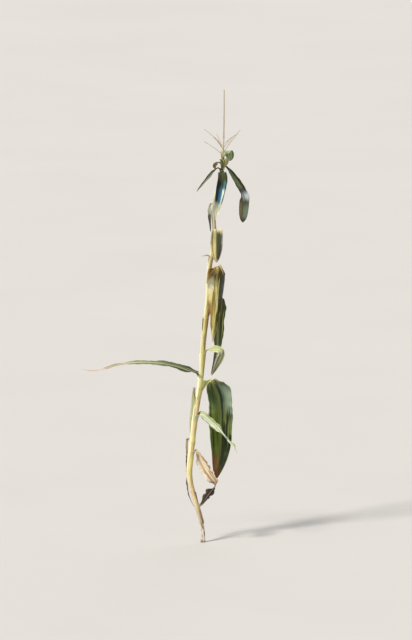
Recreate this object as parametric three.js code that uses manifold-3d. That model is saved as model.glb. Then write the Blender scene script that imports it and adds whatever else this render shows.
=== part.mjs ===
// A single maize plant late in its season, in millimetres, with +Z up.
// The stalk starts as a flat cut at ground level, swings to one side at its foot and then rises with a
// slight lean. Sheaths wrap it from leaf to leaf. Each leaf leaves the top of its sheath, and most of them
// have folded over and hang. A slim ear in its husk sits low on the stalk, and a tassel ends it.
// The plant is seen from the front along +Y, with +X to the right. Azimuths turn from +X towards +Y.
import * as THREE from "three";
import { mergeVertices } from "three/addons/utils/BufferGeometryUtils.js";
import Module from "manifold-3d";

const wasm = await Module();
wasm.setup();

// Driving sizes
const plantHeight = 2100; // from the ground to the tip of the tassel
const stalkTop = 1862; // where the stalk ends and the tassel's middle spike begins
const clearance = 0.35; // gap between pieces that meet
const cutGap = 2; // gap between the two pieces of a leaf that is cut at its fold

// The line that the stalk follows
const footSwing = 99; // how far the foot swings to the left
const swingHeight = 350; // the height in which it does so
const lean = 0.1077; // travel to the right for each millimetre of height
const uprightFrom = 1700; // height at which the stalk begins to turn upright
const uprightOver = 120; // how quickly it turns upright
const depthBow = 24; // how far the stalk bows away from the viewer
// Places where the stalk bends aside: the middle height, half the height it takes, and how far to the right
const asides = [
  { middle: 760, half: 220, reach: 7 },
  { middle: 1265, half: 130, reach: -9 },
  { middle: 1560, half: 165, reach: -20 },
];

// The stalk's thickness
const footRadius = 8.8;
const flareRadius = 2.6; // extra radius where the stalk meets the ground
const flareHeight = 14;
const bellyRadius = 10.8;
const bellyHeight = 260;
const topRadius = 2.5;
const jointBulge = 1.1; // extra radius at each joint of the stalk
const jointHalfHeight = 9;

// The sheaths
const sheathThickness = 1.7;
const sheathGap = 0.4; // between a sheath and the stalk, and between one sheath and the next
const sheathLongest = 178;
const lowestSheath = [100, 236]; // foot and top of the old sheath that has lost its leaf

// The leaves
const collarRise = 84; // a leaf starts almost along the stalk, this many degrees above level
const collarWidth = 0.56; // width at the collar, as a share of the leaf's greatest width
const slimmestBlade = 5; // width left at the tip
const thicknessShare = 0.0105; // thickness of a blade, as a share of its length
const thinnestBlade = 2.2;
const flattestArc = 0.02; // in radians, so that a section never divides by nothing
const bladeStep = 27; // length of one stretch of a blade
const bendStretches = 5; // stretches in each bend
const narrows = 2.3; // how late a blade narrows to its tip, where the leaf gives no other number
const sharpFold = 60; // degrees from which a bend counts as a fold
const foldReach = 0.6; // how far to each side of its middle a fold is felt, as a share of its length
const waveLength = 118; // spacing of the waves along a leaf's margins

// The leaves from the lowest to the highest. Each has the height of its collar, the azimuth of its side of
// the stalk, its length and greatest width, the length in which it turns out from the stalk and its rise
// then, the arcs that its section makes near the collar and at the tip, its twist from collar to tip, the
// height of its margins' waves, how loosely its sheath sits, and its bends. A bend has the place of its
// middle along the blade, the degrees that it turns down, the length that it takes, the degrees that it
// turns sideways and the degrees that it twists. A leaf with a cut is two pieces, one on each side of it.
// A blunt leaf keeps its width for longer, foot is its width at the collar as a share of its greatest, and
// pinch is the share of its width that a sharp fold takes away.
const leaves = [
  { name: "leaf_01", collar: 416, side: -20, length: 326, width: 60, out: 16, rise: -60, arc: [80, 60],
    twist: 0, wave: 4, loose: 1.4, blunt: 4, pinch: 0.3, cut: 182,
    bends: [[30, 0, 56, 0, 80], [110, -10, 100, 0, 0], [182, 76, 50, 0, 0], [190, 0, 96, 0, 150]] },
  { name: "leaf_02", collar: 468, side: 126, length: 352, width: 24, out: 14, rise: 10, arc: [150, 150],
    twist: 0, wave: 1.5, loose: 1.0, bends: [[24, 100, 28, 0, 0], [64, 0, 40, 54, 0], [288, 30, 160, 0, 0]] },
  { name: "leaf_03", collar: 572, side: -24, length: 278, width: 64, out: 46, rise: -36, arc: [60, 70],
    twist: 0, wave: 8, loose: 1.2, foot: 0.8, blunt: 0.5, bends: [[30, 0, 50, 0, 56],
      [100, 6, 70, 0, 0], [120, 0, 80, 0, -30], [232, 20, 80, 0, -20]] },
  { name: "leaf_04", collar: 682, side: 40, length: 582, width: 118, out: 46, rise: 46, arc: [70, -40],
    twist: -26, wave: 7, loose: 1.2, foot: 0.42, blunt: 4, pinch: 0.3, cut: 88,
    bends: [[88, 106, 52, 0, -24], [190, 28, 110, 0, 0], [440, 16, 150, 0, 0]] },
  { name: "leaf_05", collar: 768, side: 177, length: 554, width: 50, out: 26, rise: 18, arc: [80, 90],
    twist: -8, wave: 3, loose: 1.4, foot: 1.0, blunt: 0.6, bends: [[44, 0, 50, 0, -48], [150, 16, 140, 0, 0],
      [340, 20, 220, 0, 0], [490, -28, 70, 0, 0]] },
  { name: "leaf_06", collar: 876, side: -28, length: 218, width: 50, out: 28, rise: 8, arc: [70, 50],
    twist: 0, wave: 2, loose: 3.4, pinch: 0.25, cut: 88, bends: [[36, 0, 50, 0, 46], [88, 124, 56, 0, 0]] },
  { name: "leaf_07", collar: 1045, side: 38, length: 486, width: 60, out: 46, rise: 60, arc: [80, -60],
    twist: -48, wave: 5, loose: 3.0, pinch: 0.4, cut: 112,
    bends: [[112, 155, 70, 0, 0], [400, 20, 120, 0, 0]] },
  { name: "leaf_08", collar: 1202, side: -58, length: 476, width: 86, out: 40, rise: 54, arc: [84, -110],
    twist: 30, wave: 6, loose: 2.0, foot: 0.4, pinch: 0.6, cut: 112,
    bends: [[112, 166, 46, 0, 0], [175, -16, 70, 0, 24]] },
  { name: "leaf_09", collar: 1322, side: 214, length: 46, width: 17, out: 12, rise: 0, arc: [130, 130],
    twist: 0, wave: 0, loose: 2.4, bends: [] },
  { name: "leaf_10", collar: 1440, side: -74, length: 184, width: 58, out: 16, rise: 34, arc: [90, -110],
    twist: 16, wave: 3, loose: 3.2, blunt: 6, bends: [[28, 126, 30, 0, 0]] },
  { name: "leaf_11", collar: 1566, side: 180, length: 138, width: 27, out: 7, rise: -70, arc: [90, 100],
    twist: -10, wave: 1.5, loose: 1.4, blunt: 4, bends: [[16, 22, 20, 0, -24]] },
  { name: "leaf_12", collar: 1702, side: -82, length: 250, width: 56, out: 16, rise: 34, arc: [96, 60],
    twist: 8, wave: 4, loose: 4.4, bends: [[28, 124, 32, 0, 0], [60, 10, 30, 82, 82]] },
  { name: "leaf_13", collar: 1724, side: 172, length: 160, width: 26, out: 18, rise: -34, arc: [70, 100],
    twist: -8, wave: 1.5, loose: 4.8, blunt: 4, bends: [[20, 16, 20, 0, 0], [34, 0, 36, 0, -28]] },
  { name: "leaf_14", collar: 1734, side: 4, length: 290, width: 48, out: 12, rise: -56, arc: [70, 70],
    twist: 10, wave: 2, loose: 4.0, blunt: 12, cut: 168, bends: [[26, 0, 36, 0, 34], [90, 4, 60, 0, 0],
      [168, 34, 56, 0, 50]] },
  { name: "leaf_15", collar: 1752, side: 204, length: 54, width: 38, out: 9, rise: 10, arc: [100, 120],
    twist: 0, wave: 3, loose: 3.4, blunt: 4, bends: [[24, 100, 24, 0, 0]] },
  { name: "leaf_16", collar: 1768, side: -76, length: 56, width: 42, out: 9, rise: 20, arc: [90, 110],
    twist: 0, wave: 3, loose: 2.6, blunt: 4, bends: [[22, 110, 24, 0, 0]] },
  { name: "leaf_17", collar: 1784, side: 60, length: 102, width: 50, out: 16, rise: 34, arc: [80, 60],
    twist: 0, wave: 3, loose: 1.8, blunt: 7, bends: [[46, 110, 44, 0, 0]] },
];

// The ear, which sits on the left of the stalk above the lowest leaf
const ear = { foot: 496, length: 218, radius: 14, tipRadius: 1.6, footSide: 104, tipSide: 158 };

// The tassel
const spikeRadius = 4.6;
const spikeTipRadius = 1.8;
const spikeletPitch = 12; // height of one ring of the spike's ripple
const spikeRipple = 0.9;
const branchCount = 7;
const branchesFrom = 1792; // height of the lowest branch on the stalk
const branchesTo = 1842; // and of the highest
const branchTurn = 137.5; // azimuth from one branch to the next
const branchLengths = [100, 142];
const branchRises = [34, 62];
const branchUneven = 24; // spread of the azimuths about their even turn
const branchDroop = 14; // degrees by which a branch bends down towards its tip
const branchRadius = 3.1;
const branchFootRadius = 1.5;
const branchTipRadius = 1.3;
const branchRipple = 0.5;
const firstBranchSide = 200; // azimuth of the lowest branch

// How finely the round pieces are cut
const stalkSides = 12;
const sheathSides = 12;
const stemStep = 60; // greatest height of one stretch of the stalk or of a sheath
const flareHeights = [7, 16, 30]; // heights of the extra rings in the stalk's flare
const branchSides = 6;
const spikeSides = 8;
const earSides = 12;

const radians = THREE.MathUtils.degToRad;
const lerp = THREE.MathUtils.lerp;
const smooth = (t) => THREE.MathUtils.smoothstep(t, 0, 1);

// A small seeded source of numbers from 0 to 1, so that the plant is the same each time
function seeded(seed) {
  let state = seed;
  return () => {
    state = (state * 1664525 + 1013904223) % 4294967296;
    return state / 4294967296;
  };
}

// The middle of the stalk at a height
function stalkAt(height) {
  const leaning = Math.min(height, uprightFrom);
  const turning = Math.max(height - uprightFrom, 0);
  const settled = uprightOver * (1 - Math.exp(-turning / uprightOver));
  let sideways = lean * (leaning + settled) - footSwing * smooth(height / swingHeight);
  for (const { middle, half, reach } of asides) {
    sideways += reach * smooth(1 - Math.abs(height - middle) / half);
  }
  const away = depthBow * Math.sin((Math.PI * height) / plantHeight) ** 2;
  return new THREE.Vector3(sideways, away, height);
}

// The foot and top of each sheath. The stalk has a joint at each foot.
function sheathSpans() {
  const spans = [{ foot: lowestSheath[0], top: lowestSheath[1], loose: 1.2 }];
  for (const leaf of leaves) {
    const below = spans[spans.length - 1].top + sheathGap;
    spans.push({ foot: Math.max(below, leaf.collar - sheathLongest), top: leaf.collar, loose: leaf.loose });
  }
  return spans;
}

const spans = sheathSpans();

// The stalk's radius at a height, with its flare at the ground and a bulge at each joint
function stalkRadius(height) {
  const foot = lerp(footRadius, bellyRadius, smooth(height / bellyHeight));
  const above = Math.max(height - bellyHeight, 0) / (stalkTop - bellyHeight);
  const flare = flareRadius * Math.exp(-((height / flareHeight) ** 2));
  const bulge = spans.reduce(
    (most, span) => Math.max(most, jointBulge * Math.exp(-(((height - span.foot) / jointHalfHeight) ** 2))),
    0,
  );
  return lerp(foot, topRadius, above ** 2) + flare + bulge * (1 - above);
}

// The inside radius of a sheath at a height within it
function sheathBore(span, height) {
  const along = (height - span.foot) / (span.top - span.foot);
  return stalkRadius(height) + sheathGap + span.loose * smooth(along);
}

// The outside radius of the stalk with whatever sheath is on it
function stemRadius(height) {
  const span = spans.find((s) => height >= s.foot && height <= s.top);
  return span ? sheathBore(span, height) + sheathThickness : stalkRadius(height);
}

// A closed body from rings of points. A looped body joins its last ring to its first, and any other is
// closed by a cap on each end.
function bodyFromRings(rings, { looped = false, cap = fanCap } = {}) {
  const around = rings[0].length;
  const positions = rings.flat().flatMap((p) => [p.x, p.y, p.z]);
  const index = [];
  const bands = looped ? rings.length : rings.length - 1;
  for (let band = 0; band < bands; band += 1) {
    const low = band * around;
    const high = ((band + 1) % rings.length) * around;
    for (let i = 0; i < around; i += 1) {
      const j = (i + 1) % around;
      index.push(low + i, low + j, high + j, low + i, high + j, high + i);
    }
  }
  if (!looped) {
    const last = (rings.length - 1) * around;
    for (const [a, b, c] of cap(around)) {
      index.push(a, c, b, last + a, last + b, last + c);
    }
  }
  const geometry = new THREE.BufferGeometry();
  geometry.setAttribute("position", new THREE.Float32BufferAttribute(positions, 3));
  geometry.setIndex(index);
  return facingOut(geometry);
}

// The triangles that close a round ring
function fanCap(around) {
  return Array.from({ length: around - 2 }, (_, i) => [0, i + 1, i + 2]);
}

// The triangles that close a flat strip, whose ring runs along its top and back along its underside
function stripCap(around) {
  const half = around / 2;
  return Array.from({ length: half - 1 }, (_, i) => [
    [i, i + 1, around - 2 - i],
    [i, around - 2 - i, around - 1 - i],
  ]).flat();
}

// Turns a body round if its faces point inwards
function facingOut(geometry) {
  const position = geometry.getAttribute("position");
  const index = geometry.getIndex();
  const corner = [new THREE.Vector3(), new THREE.Vector3(), new THREE.Vector3()];
  let sixVolumes = 0;
  for (let i = 0; i < index.count; i += 3) {
    corner.forEach((c, k) => c.fromBufferAttribute(position, index.getX(i + k)));
    sixVolumes += corner[0].dot(corner[1].clone().cross(corner[2]));
  }
  if (sixVolumes < 0) {
    for (let i = 0; i < index.count; i += 3) {
      const kept = index.getX(i);
      index.setX(i, index.getX(i + 1));
      index.setX(i + 1, kept);
    }
  }
  return geometry;
}

// A ring of points round a centre, across two directions
function ring(centre, across, up, radius, sides) {
  return Array.from({ length: sides }, (_, i) => {
    const angle = (2 * Math.PI * i) / sides;
    return centre
      .clone()
      .addScaledVector(across, radius * Math.cos(angle))
      .addScaledVector(up, radius * Math.sin(angle));
  });
}

const rightwards = new THREE.Vector3(1, 0, 0);
const backwards = new THREE.Vector3(0, 1, 0);

// A level ring round the stalk
function stalkRing(height, radius, sides) {
  return ring(stalkAt(height), rightwards, backwards, radius, sides);
}

function solidOf(geometry) {
  const bare = geometry.clone();
  bare.deleteAttribute("normal");
  bare.deleteAttribute("uv");
  const merged = mergeVertices(bare);
  return new wasm.Manifold(
    new wasm.Mesh({
      numProp: 3,
      vertProperties: merged.getAttribute("position").array,
      triVerts: new Uint32Array(merged.getIndex().array),
    }),
  );
}

function geometryOf(solid) {
  const mesh = solid.getMesh();
  const geometry = new THREE.BufferGeometry();
  geometry.setAttribute("position", new THREE.BufferAttribute(mesh.vertProperties, 3));
  geometry.setIndex(new THREE.BufferAttribute(mesh.triVerts, 1));
  return geometry;
}

// Steps from one height to another that are no longer than the longest
function heightSteps(from, to, longest) {
  const count = Math.max(1, Math.ceil((to - from) / longest));
  return Array.from({ length: count + 1 }, (_, i) => lerp(from, to, i / count));
}

// The heights of a sheath's rings
function sheathHeights(span) {
  return heightSteps(span.foot + clearance, span.top, stemStep);
}

// The heights of the stalk's rings. Within a sheath they are the sheath's own, so that the two run level.
function stemHeights(from, to) {
  const bare = [[0, spans[0].foot]];
  spans.forEach((span, i) => {
    bare.push([span.top, i + 1 < spans.length ? spans[i + 1].foot : stalkTop]);
  });
  const heights = [
    ...bare.flatMap(([low, high]) => heightSteps(low, high, stemStep)),
    ...spans.flatMap(sheathHeights),
    ...flareHeights,
  ];
  const sorted = heights.sort((a, b) => a - b);
  const apart = sorted.filter((h, i) => i === 0 || h - sorted[i - 1] > 0.01);
  return [...from, ...apart, ...to];
}

function stalkGeometry() {
  return bodyFromRings(stemHeights([], []).map((h) => stalkRing(h, stalkRadius(h), stalkSides)));
}

function sheathGeometry(span) {
  const heights = sheathHeights(span);
  // A ring of flat sides lies inside its circle, so the bore is opened by as much.
  const opened = 1 / Math.cos(Math.PI / sheathSides);
  const wall = (grown) =>
    heights.map((h) => stalkRing(h, (sheathBore(span, h) + grown) * opened, sheathSides));
  return bodyFromRings([...wall(sheathThickness), ...wall(0).reverse()], { looped: true });
}

// Everything that leaves and branches have to keep clear of: the stalk and its sheaths, grown a little
function stemEnvelope() {
  const heights = stemHeights([-10], [stalkTop + 10]);
  const opened = 1 / Math.cos(Math.PI / stalkSides);
  const grown = (h) => {
    const nearby = [h - 2 * clearance, h, h + 2 * clearance].map(stemRadius);
    return (Math.max(...nearby) + clearance) * opened;
  };
  return solidOf(bodyFromRings(heights.map((h) => stalkRing(h, grown(h), stalkSides))));
}

const envelope = stemEnvelope();

// The largest body of a solid once the stem is cut out of it
function clearOfStem(geometry) {
  const parts = solidOf(geometry).subtract(envelope).decompose();
  const largest = parts.reduce((a, b) => (a.volume() > b.volume() ? a : b));
  return geometryOf(largest);
}

function bladeThickness(leaf) {
  return Math.max(thinnestBlade, leaf.length * thicknessShare);
}

// The width of a blade at a share of its length from the collar
function bladeWidth(leaf, share) {
  const opening = lerp(leaf.foot ?? collarWidth, 1, smooth(share / 0.3));
  const narrowing = Math.max(0, 1 - share ** (leaf.blunt ?? narrows)) ** 0.8;
  return Math.max(slimmestBlade, leaf.width * opening * narrowing);
}

// The direction of a blade's midrib at a distance from the collar, as [rise, azimuth, twist] in degrees
function bladeHeading(leaf, distance) {
  let rise = lerp(collarRise, leaf.rise, smooth(distance / leaf.out));
  let azimuth = leaf.side;
  let twist = leaf.twist * smooth(distance / leaf.length);
  for (const [middle, down, over, sideways, turned] of leaf.bends) {
    const done = smooth((distance - middle) / over + 0.5);
    rise -= down * done;
    azimuth += sideways * done;
    twist += turned * done;
  }
  return [rise, azimuth, twist];
}

// How near a distance is to one of the blade's sharp folds, from 0 to 1
function foldShare(leaf, distance) {
  const folds = leaf.bends.filter(([, down]) => Math.abs(down) > sharpFold);
  const near = ([middle, , over]) => Math.exp(-(((distance - middle) / (foldReach * over)) ** 2));
  return Math.max(0, ...folds.map(near));
}

// The frame of a blade at a distance from the collar: the way it runs, the way across it and its upper side
function bladeFrame(leaf, distance) {
  const [rise, azimuth, twist] = bladeHeading(leaf, distance).map(radians);
  const out = new THREE.Vector3(Math.cos(azimuth), Math.sin(azimuth), 0);
  const along = out.clone().multiplyScalar(Math.cos(rise)).setZ(Math.sin(rise));
  const across = new THREE.Vector3(-Math.sin(azimuth), Math.cos(azimuth), 0);
  const upper = out.clone().multiplyScalar(-Math.sin(rise)).setZ(Math.cos(rise));
  across.applyAxisAngle(along, twist);
  upper.applyAxisAngle(along, twist);
  return { along, across, upper };
}

// The midrib's path, as a function from the distance along it to a point
function bladePath(leaf) {
  const stride = 2;
  const count = Math.ceil(leaf.length / stride) + 1;
  const start = stalkAt(leaf.collar);
  const azimuth = radians(leaf.side);
  const offset = stemRadius(leaf.collar) + clearance + bladeThickness(leaf) / 2;
  start.add(new THREE.Vector3(Math.cos(azimuth), Math.sin(azimuth), 0).multiplyScalar(offset));
  const points = [start];
  for (let i = 1; i <= count; i += 1) {
    const { along } = bladeFrame(leaf, (i - 0.5) * stride);
    points.push(points[i - 1].clone().addScaledVector(along, stride));
  }
  return (distance) => {
    const place = Math.min(distance / stride, count - 1e-6);
    const low = Math.floor(place);
    return points[low].clone().lerp(points[low + 1], place - low);
  };
}

// One section of a blade: points along its upper side and back along its underside
function bladeSection(leaf, path, distance) {
  const strips = 4;
  const share = distance / leaf.length;
  const width = bladeWidth(leaf, share) * (1 - (leaf.pinch ?? 0) * foldShare(leaf, distance));
  const thickness = bladeThickness(leaf);
  const { across, upper } = bladeFrame(leaf, distance);
  // At the collar the blade wraps the stem, and from there it opens to its own arc. A fold is flat.
  const wrapped = width / (stemRadius(leaf.collar) + clearance + thickness / 2);
  const flattened = 1 - foldShare(leaf, distance);
  const opened = radians(lerp(leaf.arc[0], leaf.arc[1], smooth(share))) * flattened;
  const bent = lerp(wrapped, opened, smooth(distance / leaf.out));
  const arc = Math.abs(bent) < flattestArc ? flattestArc : bent;
  const radius = width / arc;
  const waving = leaf.wave * smooth(share / 0.2) * smooth((1 - share) / 0.2);
  const middle = path(distance);
  const sides = [1, -1].map((face) =>
    Array.from({ length: strips + 1 }, (_, i) => {
      const place = (2 * i) / strips - 1;
      const angle = (place * arc) / 2;
      const wave = waving * place ** 2 * Math.sin((2 * Math.PI * distance) / waveLength + place * 1.3);
      const from = radius - (face * thickness) / 2;
      return middle
        .clone()
        .addScaledVector(across, from * Math.sin(angle))
        .addScaledVector(upper, radius - from * Math.cos(angle) + wave);
    }),
  );
  return [...sides[0], ...sides[1].reverse()];
}

// The distances along a blade at which it gets a section: even steps, and closer ones in its bends
function bladeStations(leaf, from, to) {
  const stations = [from];
  while (stations[stations.length - 1] < to) {
    const here = stations[stations.length - 1];
    const tight = leaf.bends.filter(([middle, , over]) => Math.abs(here - middle) < over / 2 + 2);
    const steps = tight.map(([, down, over]) => (down ? over / bendStretches : bladeStep));
    const step = Math.min(bladeStep, here < leaf.out ? leaf.out / 3 : bladeStep, ...steps);
    stations.push(Math.min(here + step, to));
  }
  const last = stations.length - 1;
  if (stations[last] - stations[last - 1] < 3) stations.splice(last - 1, 1);
  return stations;
}

// A blade from one distance to another, cut clear of the stem
function bladeGeometry(leaf, from, to) {
  const path = bladePath(leaf);
  const rings = bladeStations(leaf, from, to).map((d) => bladeSection(leaf, path, d));
  return clearOfStem(bodyFromRings(rings, { cap: stripCap }));
}

// The pieces of a leaf's blade: one, or one on each side of its cut
function bladePieces(leaf) {
  if (!leaf.cut) return [[leaf.name, bladeGeometry(leaf, 0, leaf.length)]];
  return [
    [`${leaf.name}_rise`, bladeGeometry(leaf, 0, leaf.cut - cutGap / 2)],
    [`${leaf.name}_hang`, bladeGeometry(leaf, leaf.cut + cutGap / 2, leaf.length)],
  ];
}

// The ear in its husk: a slim spindle that stands against the stem and ends in a point
function earGeometry() {
  const steps = 16;
  const rings = Array.from({ length: steps + 1 }, (_, i) => {
    const share = i / steps;
    const azimuth = radians(lerp(ear.footSide, ear.tipSide, share ** 2));
    const out = new THREE.Vector3(Math.cos(azimuth), Math.sin(azimuth), 0);
    const height = ear.foot + ear.length * share;
    const swelling = Math.sin(Math.PI * Math.min(1, 0.12 + 0.88 * share ** 0.8)) ** 0.75;
    const radius = lerp(ear.tipRadius, ear.radius, swelling);
    const centre = stalkAt(height).addScaledVector(out, stemRadius(height) + ear.radius * 0.92);
    return ring(centre, rightwards, backwards, radius, earSides);
  });
  return clearOfStem(bodyFromRings(rings));
}

// The tassel's middle spike, which carries on from the stalk, with a ripple for its rows of spikelets
function spikeGeometry() {
  const heights = heightSteps(stalkTop + clearance, plantHeight, spikeletPitch);
  const rings = heights.map((h, i) => {
    const share = (h - stalkTop) / (plantHeight - stalkTop);
    const ripple = i % 2 ? spikeRipple : 0;
    const swelling = smooth(share / 0.12);
    const grown = lerp(spikeRadius, spikeTipRadius, share ** 2);
    const radius = lerp(topRadius, grown, swelling) + ripple * (1 - share);
    return stalkRing(h, radius, spikeSides);
  });
  return bodyFromRings(rings);
}

// One of the tassel's side branches, which leaves the stalk close to it and then spreads
function branchGeometry(number, random) {
  const steps = 9;
  const height = lerp(branchesFrom, branchesTo, number / (branchCount - 1));
  const azimuth = radians(number * branchTurn + firstBranchSide + branchUneven * (random() - 0.5));
  const length = lerp(...branchLengths, random());
  const rise = lerp(...branchRises, random());
  const out = new THREE.Vector3(Math.cos(azimuth), Math.sin(azimuth), 0);
  const across = new THREE.Vector3(-Math.sin(azimuth), Math.cos(azimuth), 0);
  const centre = stalkAt(height);
  const rings = [];
  for (let i = 0; i <= steps; i += 1) {
    const share = i / steps;
    const angle = radians(rise - branchDroop * share);
    const along = out.clone().multiplyScalar(Math.cos(angle)).setZ(Math.sin(angle));
    const upper = out.clone().multiplyScalar(-Math.sin(angle)).setZ(Math.cos(angle));
    const swelling = smooth(share / 0.25);
    const grown = lerp(branchRadius, branchTipRadius, share ** 2);
    const radius = lerp(branchFootRadius, grown, swelling) + (i % 2 ? branchRipple : 0);
    rings.push(ring(centre, across, upper, radius, branchSides));
    centre.addScaledVector(along, length / steps);
  }
  return clearOfStem(bodyFromRings(rings));
}

// Each finish as its colour and roughness
const finishes = {
  stalk: [0xd2c48c, 0.55],
  sheath: [0xcfc27e, 0.6],
  green: [0x8a9656, 0.6],
  withered: [0xc2a77e, 0.8],
  husk: [0xd3cb93, 0.65],
  tassel: [0xcdb596, 0.8],
};
const witheredLeaves = ["leaf_01", "leaf_02", "leaf_09"];

// Puts a piece in a group that stands on the stalk at a height. The piece's shape is given where it stands
// in the whole plant, and is stored from the group's own place.
function addPiece(group, name, geometry, finish) {
  const [color, roughness] = finishes[finish];
  const { x, y, z } = group.position;
  const material = new THREE.MeshStandardMaterial({ color, roughness, metalness: 0, flatShading: true });
  const piece = new THREE.Mesh(geometry.translate(-x, -y, -z), material);
  piece.name = name;
  group.add(piece);
}

function groupAt(height) {
  const group = new THREE.Group();
  group.position.copy(stalkAt(height));
  return group;
}

const plant = new THREE.Group();

const stem = groupAt(0);
addPiece(stem, "stalk", stalkGeometry(), "stalk");
spans.forEach((span, i) => {
  addPiece(stem, `sheath_${String(i).padStart(2, "0")}`, sheathGeometry(span), "sheath");
});
plant.add(stem);

for (const leaf of leaves) {
  const blade = groupAt(leaf.collar);
  const finish = witheredLeaves.includes(leaf.name) ? "withered" : "green";
  for (const [name, geometry] of bladePieces(leaf)) addPiece(blade, name, geometry, finish);
  plant.add(blade);
}

const earGroup = groupAt(ear.foot);
addPiece(earGroup, "ear", earGeometry(), "husk");
plant.add(earGroup);

const tassel = groupAt(stalkTop);
addPiece(tassel, "tassel_spike", spikeGeometry(), "tassel");
const random = seeded(11);
for (let i = 0; i < branchCount; i += 1) {
  addPiece(tassel, `tassel_branch_${i + 1}`, branchGeometry(i, random), "tassel");
}
plant.add(tassel);

export default plant;
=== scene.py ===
from functools import partial
from math import cos, pi, radians, sin
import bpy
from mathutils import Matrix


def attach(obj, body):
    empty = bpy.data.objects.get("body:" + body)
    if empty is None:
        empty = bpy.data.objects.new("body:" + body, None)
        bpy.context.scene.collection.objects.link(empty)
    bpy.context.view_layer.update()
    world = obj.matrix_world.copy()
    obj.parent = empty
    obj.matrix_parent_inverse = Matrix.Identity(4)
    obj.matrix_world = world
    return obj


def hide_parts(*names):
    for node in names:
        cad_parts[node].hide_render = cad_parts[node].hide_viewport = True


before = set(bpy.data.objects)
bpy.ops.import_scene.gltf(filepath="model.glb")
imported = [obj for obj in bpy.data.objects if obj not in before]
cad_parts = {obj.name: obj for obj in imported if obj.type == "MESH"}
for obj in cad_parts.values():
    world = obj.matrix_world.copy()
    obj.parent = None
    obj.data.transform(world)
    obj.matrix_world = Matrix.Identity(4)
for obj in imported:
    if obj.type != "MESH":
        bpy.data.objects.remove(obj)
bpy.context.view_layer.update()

from types import SimpleNamespace

import bpy
import numpy as np

# The looks of one maize plant late in its season. Each solid of the part is replaced by finer pieces that
# follow the same rules: a ribbed stalk, sheaths that wrap it with one edge over the other, thin blades with
# a midrib and ruffled margins, an ear in its husk with dried silk, and a tassel of hundreds of spikelets.
# Sizes are in millimetres. A point becomes metres only when it goes into a mesh.

MM = 0.001

# The camera, which stands far away and looks a little down
IMAGE_WIDTH = 412
IMAGE_HEIGHT = 640
PIXEL = 4.58  # what one pixel spans at the plant
LOOKS_DOWN = 10  # degrees
CAMERA_DISTANCE = 40000
SENSOR = 36
FOOT_PIXEL = (203, 542)  # where the foot of the stalk shows in the picture
FLOOR = 160  # width of the floor, in metres
FLOOR_COLOUR = (0.6, 0.58, 0.55)

# The stalk's line, as in the part's source
PLANT_HEIGHT = 2100
STALK_TOP = 1862
CLEARANCE = 0.35  # between a blade's own solid and its stem
FOOT_SWING = 99
SWING_HEIGHT = 350
LEAN = 0.1077
UPRIGHT_FROM = 1700
UPRIGHT_OVER = 120
DEPTH_BOW = 24
ASIDES = [(760, 220, 7), (1265, 130, -9), (1560, 165, -20)]  # middle height, half of it, reach to the right

# The stalk's thickness
FOOT_RADIUS = 8.8
FLARE_RADIUS = 2.6
FLARE_HEIGHT = 14
BELLY_RADIUS = 10.8
BELLY_HEIGHT = 260
TOP_RADIUS = 2.5
JOINT_BULGE = 1.1
JOINT_HALF_HEIGHT = 9
STALK_SIDES = 64
STALK_STEP = 9  # height of one ring
STALK_FINE_STEP = 2  # and of one ring near a joint or on the foot, which shows
BARE_FOOT = 110
FOOT_JOINTS = [16, 34, 60]  # joints on the bare foot, which crowd towards the ground
STALK_RIB = 0.1  # depth of the stalk's fine ribs
STALK_RIBS = 21
SHARP_EDGE = 50  # degrees from which an edge of the stalk stays sharp
JOINT_RIDGE = 0.55  # height of the ridge round a joint
BUD_GROOVE = 0.9  # depth of the groove above a joint

# The sheaths
SHEATH_THICKNESS = 1.7  # how thick a sheath's own solid is
SHEATH_GAP = 0.4
SHEATH_LONGEST = 178
LOWEST_SHEATH = (100, 236)
SHEATH_WALL = 0.9  # how thick a sheath really is
SHEATH_TUCK = 12  # how far a sheath reaches down inside the one below
SHEATH_STEP = 3
SHEATH_COLUMNS = 112
SHEATH_SWELL = 70  # height in which a sheath grows out of the one below
LOWEST_SWELL = 12
SHEATH_UNEVEN = 0.35
LIGULE_GRID = (48, 4)
LIGULE_WALL = 0.3
LIGULE_WRAP = 1.9  # how far it reaches round to each side, in radians
SHEATH_RIBS = 25
SHEATH_RIB = 0.16
SHEATH_LAP = 0.42  # how far one edge laps over the other at the foot, in radians
SHEATH_PARTS = 0.55  # and how far the edges part at the top
SHEATH_OVERLAP = 0.62  # how far the edges lie out and in where they lap
SHEATH_KEEL = 0.9  # height of the keel below the leaf
EDGE_LIFT = 0.9  # how far the edges stand off near the top
EDGE_DROP = 8  # how much lower a sheath's edges end than its back

# The leaves
COLLAR_RISE = 84
COLLAR_WIDTH = 0.56
SLIMMEST_BLADE = 5  # width before the very tip
THICKNESS_SHARE = 0.0105  # how thick a blade's own solid is, as a share of its length
THINNEST_BLADE = 2.2
FLATTEST_ARC = 0.02  # in radians, so that no arc is without a radius
WAVE_LENGTH = 118
BLADE_WALL = 0.42  # how thick a blade really is, away from its midrib
RIB_WALL = 1.7  # and how thick at its midrib near the collar
BLADE_STEP = 3.2
STRIDE = 2  # step by which a blade's path is followed
BLADE_COLUMNS = 40
BLADE_ROOT = 9  # how far a blade reaches down inside the top of its sheath
ROOT_SINK = 1.7  # how far inside its sheath's outside it lies there
ROOT_NARROWING = 0.35
POINTED_TIP = 0.8  # width at the very tip
RIB_GROOVE = 1.5  # depth of the groove over the midrib
RIB_HALF_WIDTH = 2.6
PLEAT_WIDTH = 7.5
VEIN_WIDTH = 1.3
PLEAT_DEPTH = 0.22
RUFFLE_LENGTH = 43
RUFFLE_SHARE = 0.42  # height of the short ruffles, as a share of the leaf's long waves
CRUMPLE = 1.6  # unevenness of a blade where it has folded
CURL = 3  # and how far the margins of a ragged one curl
TEAR_SPACING = 9
SHARP_FOLD = 60  # degrees from which a bend counts as a fold
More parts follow.
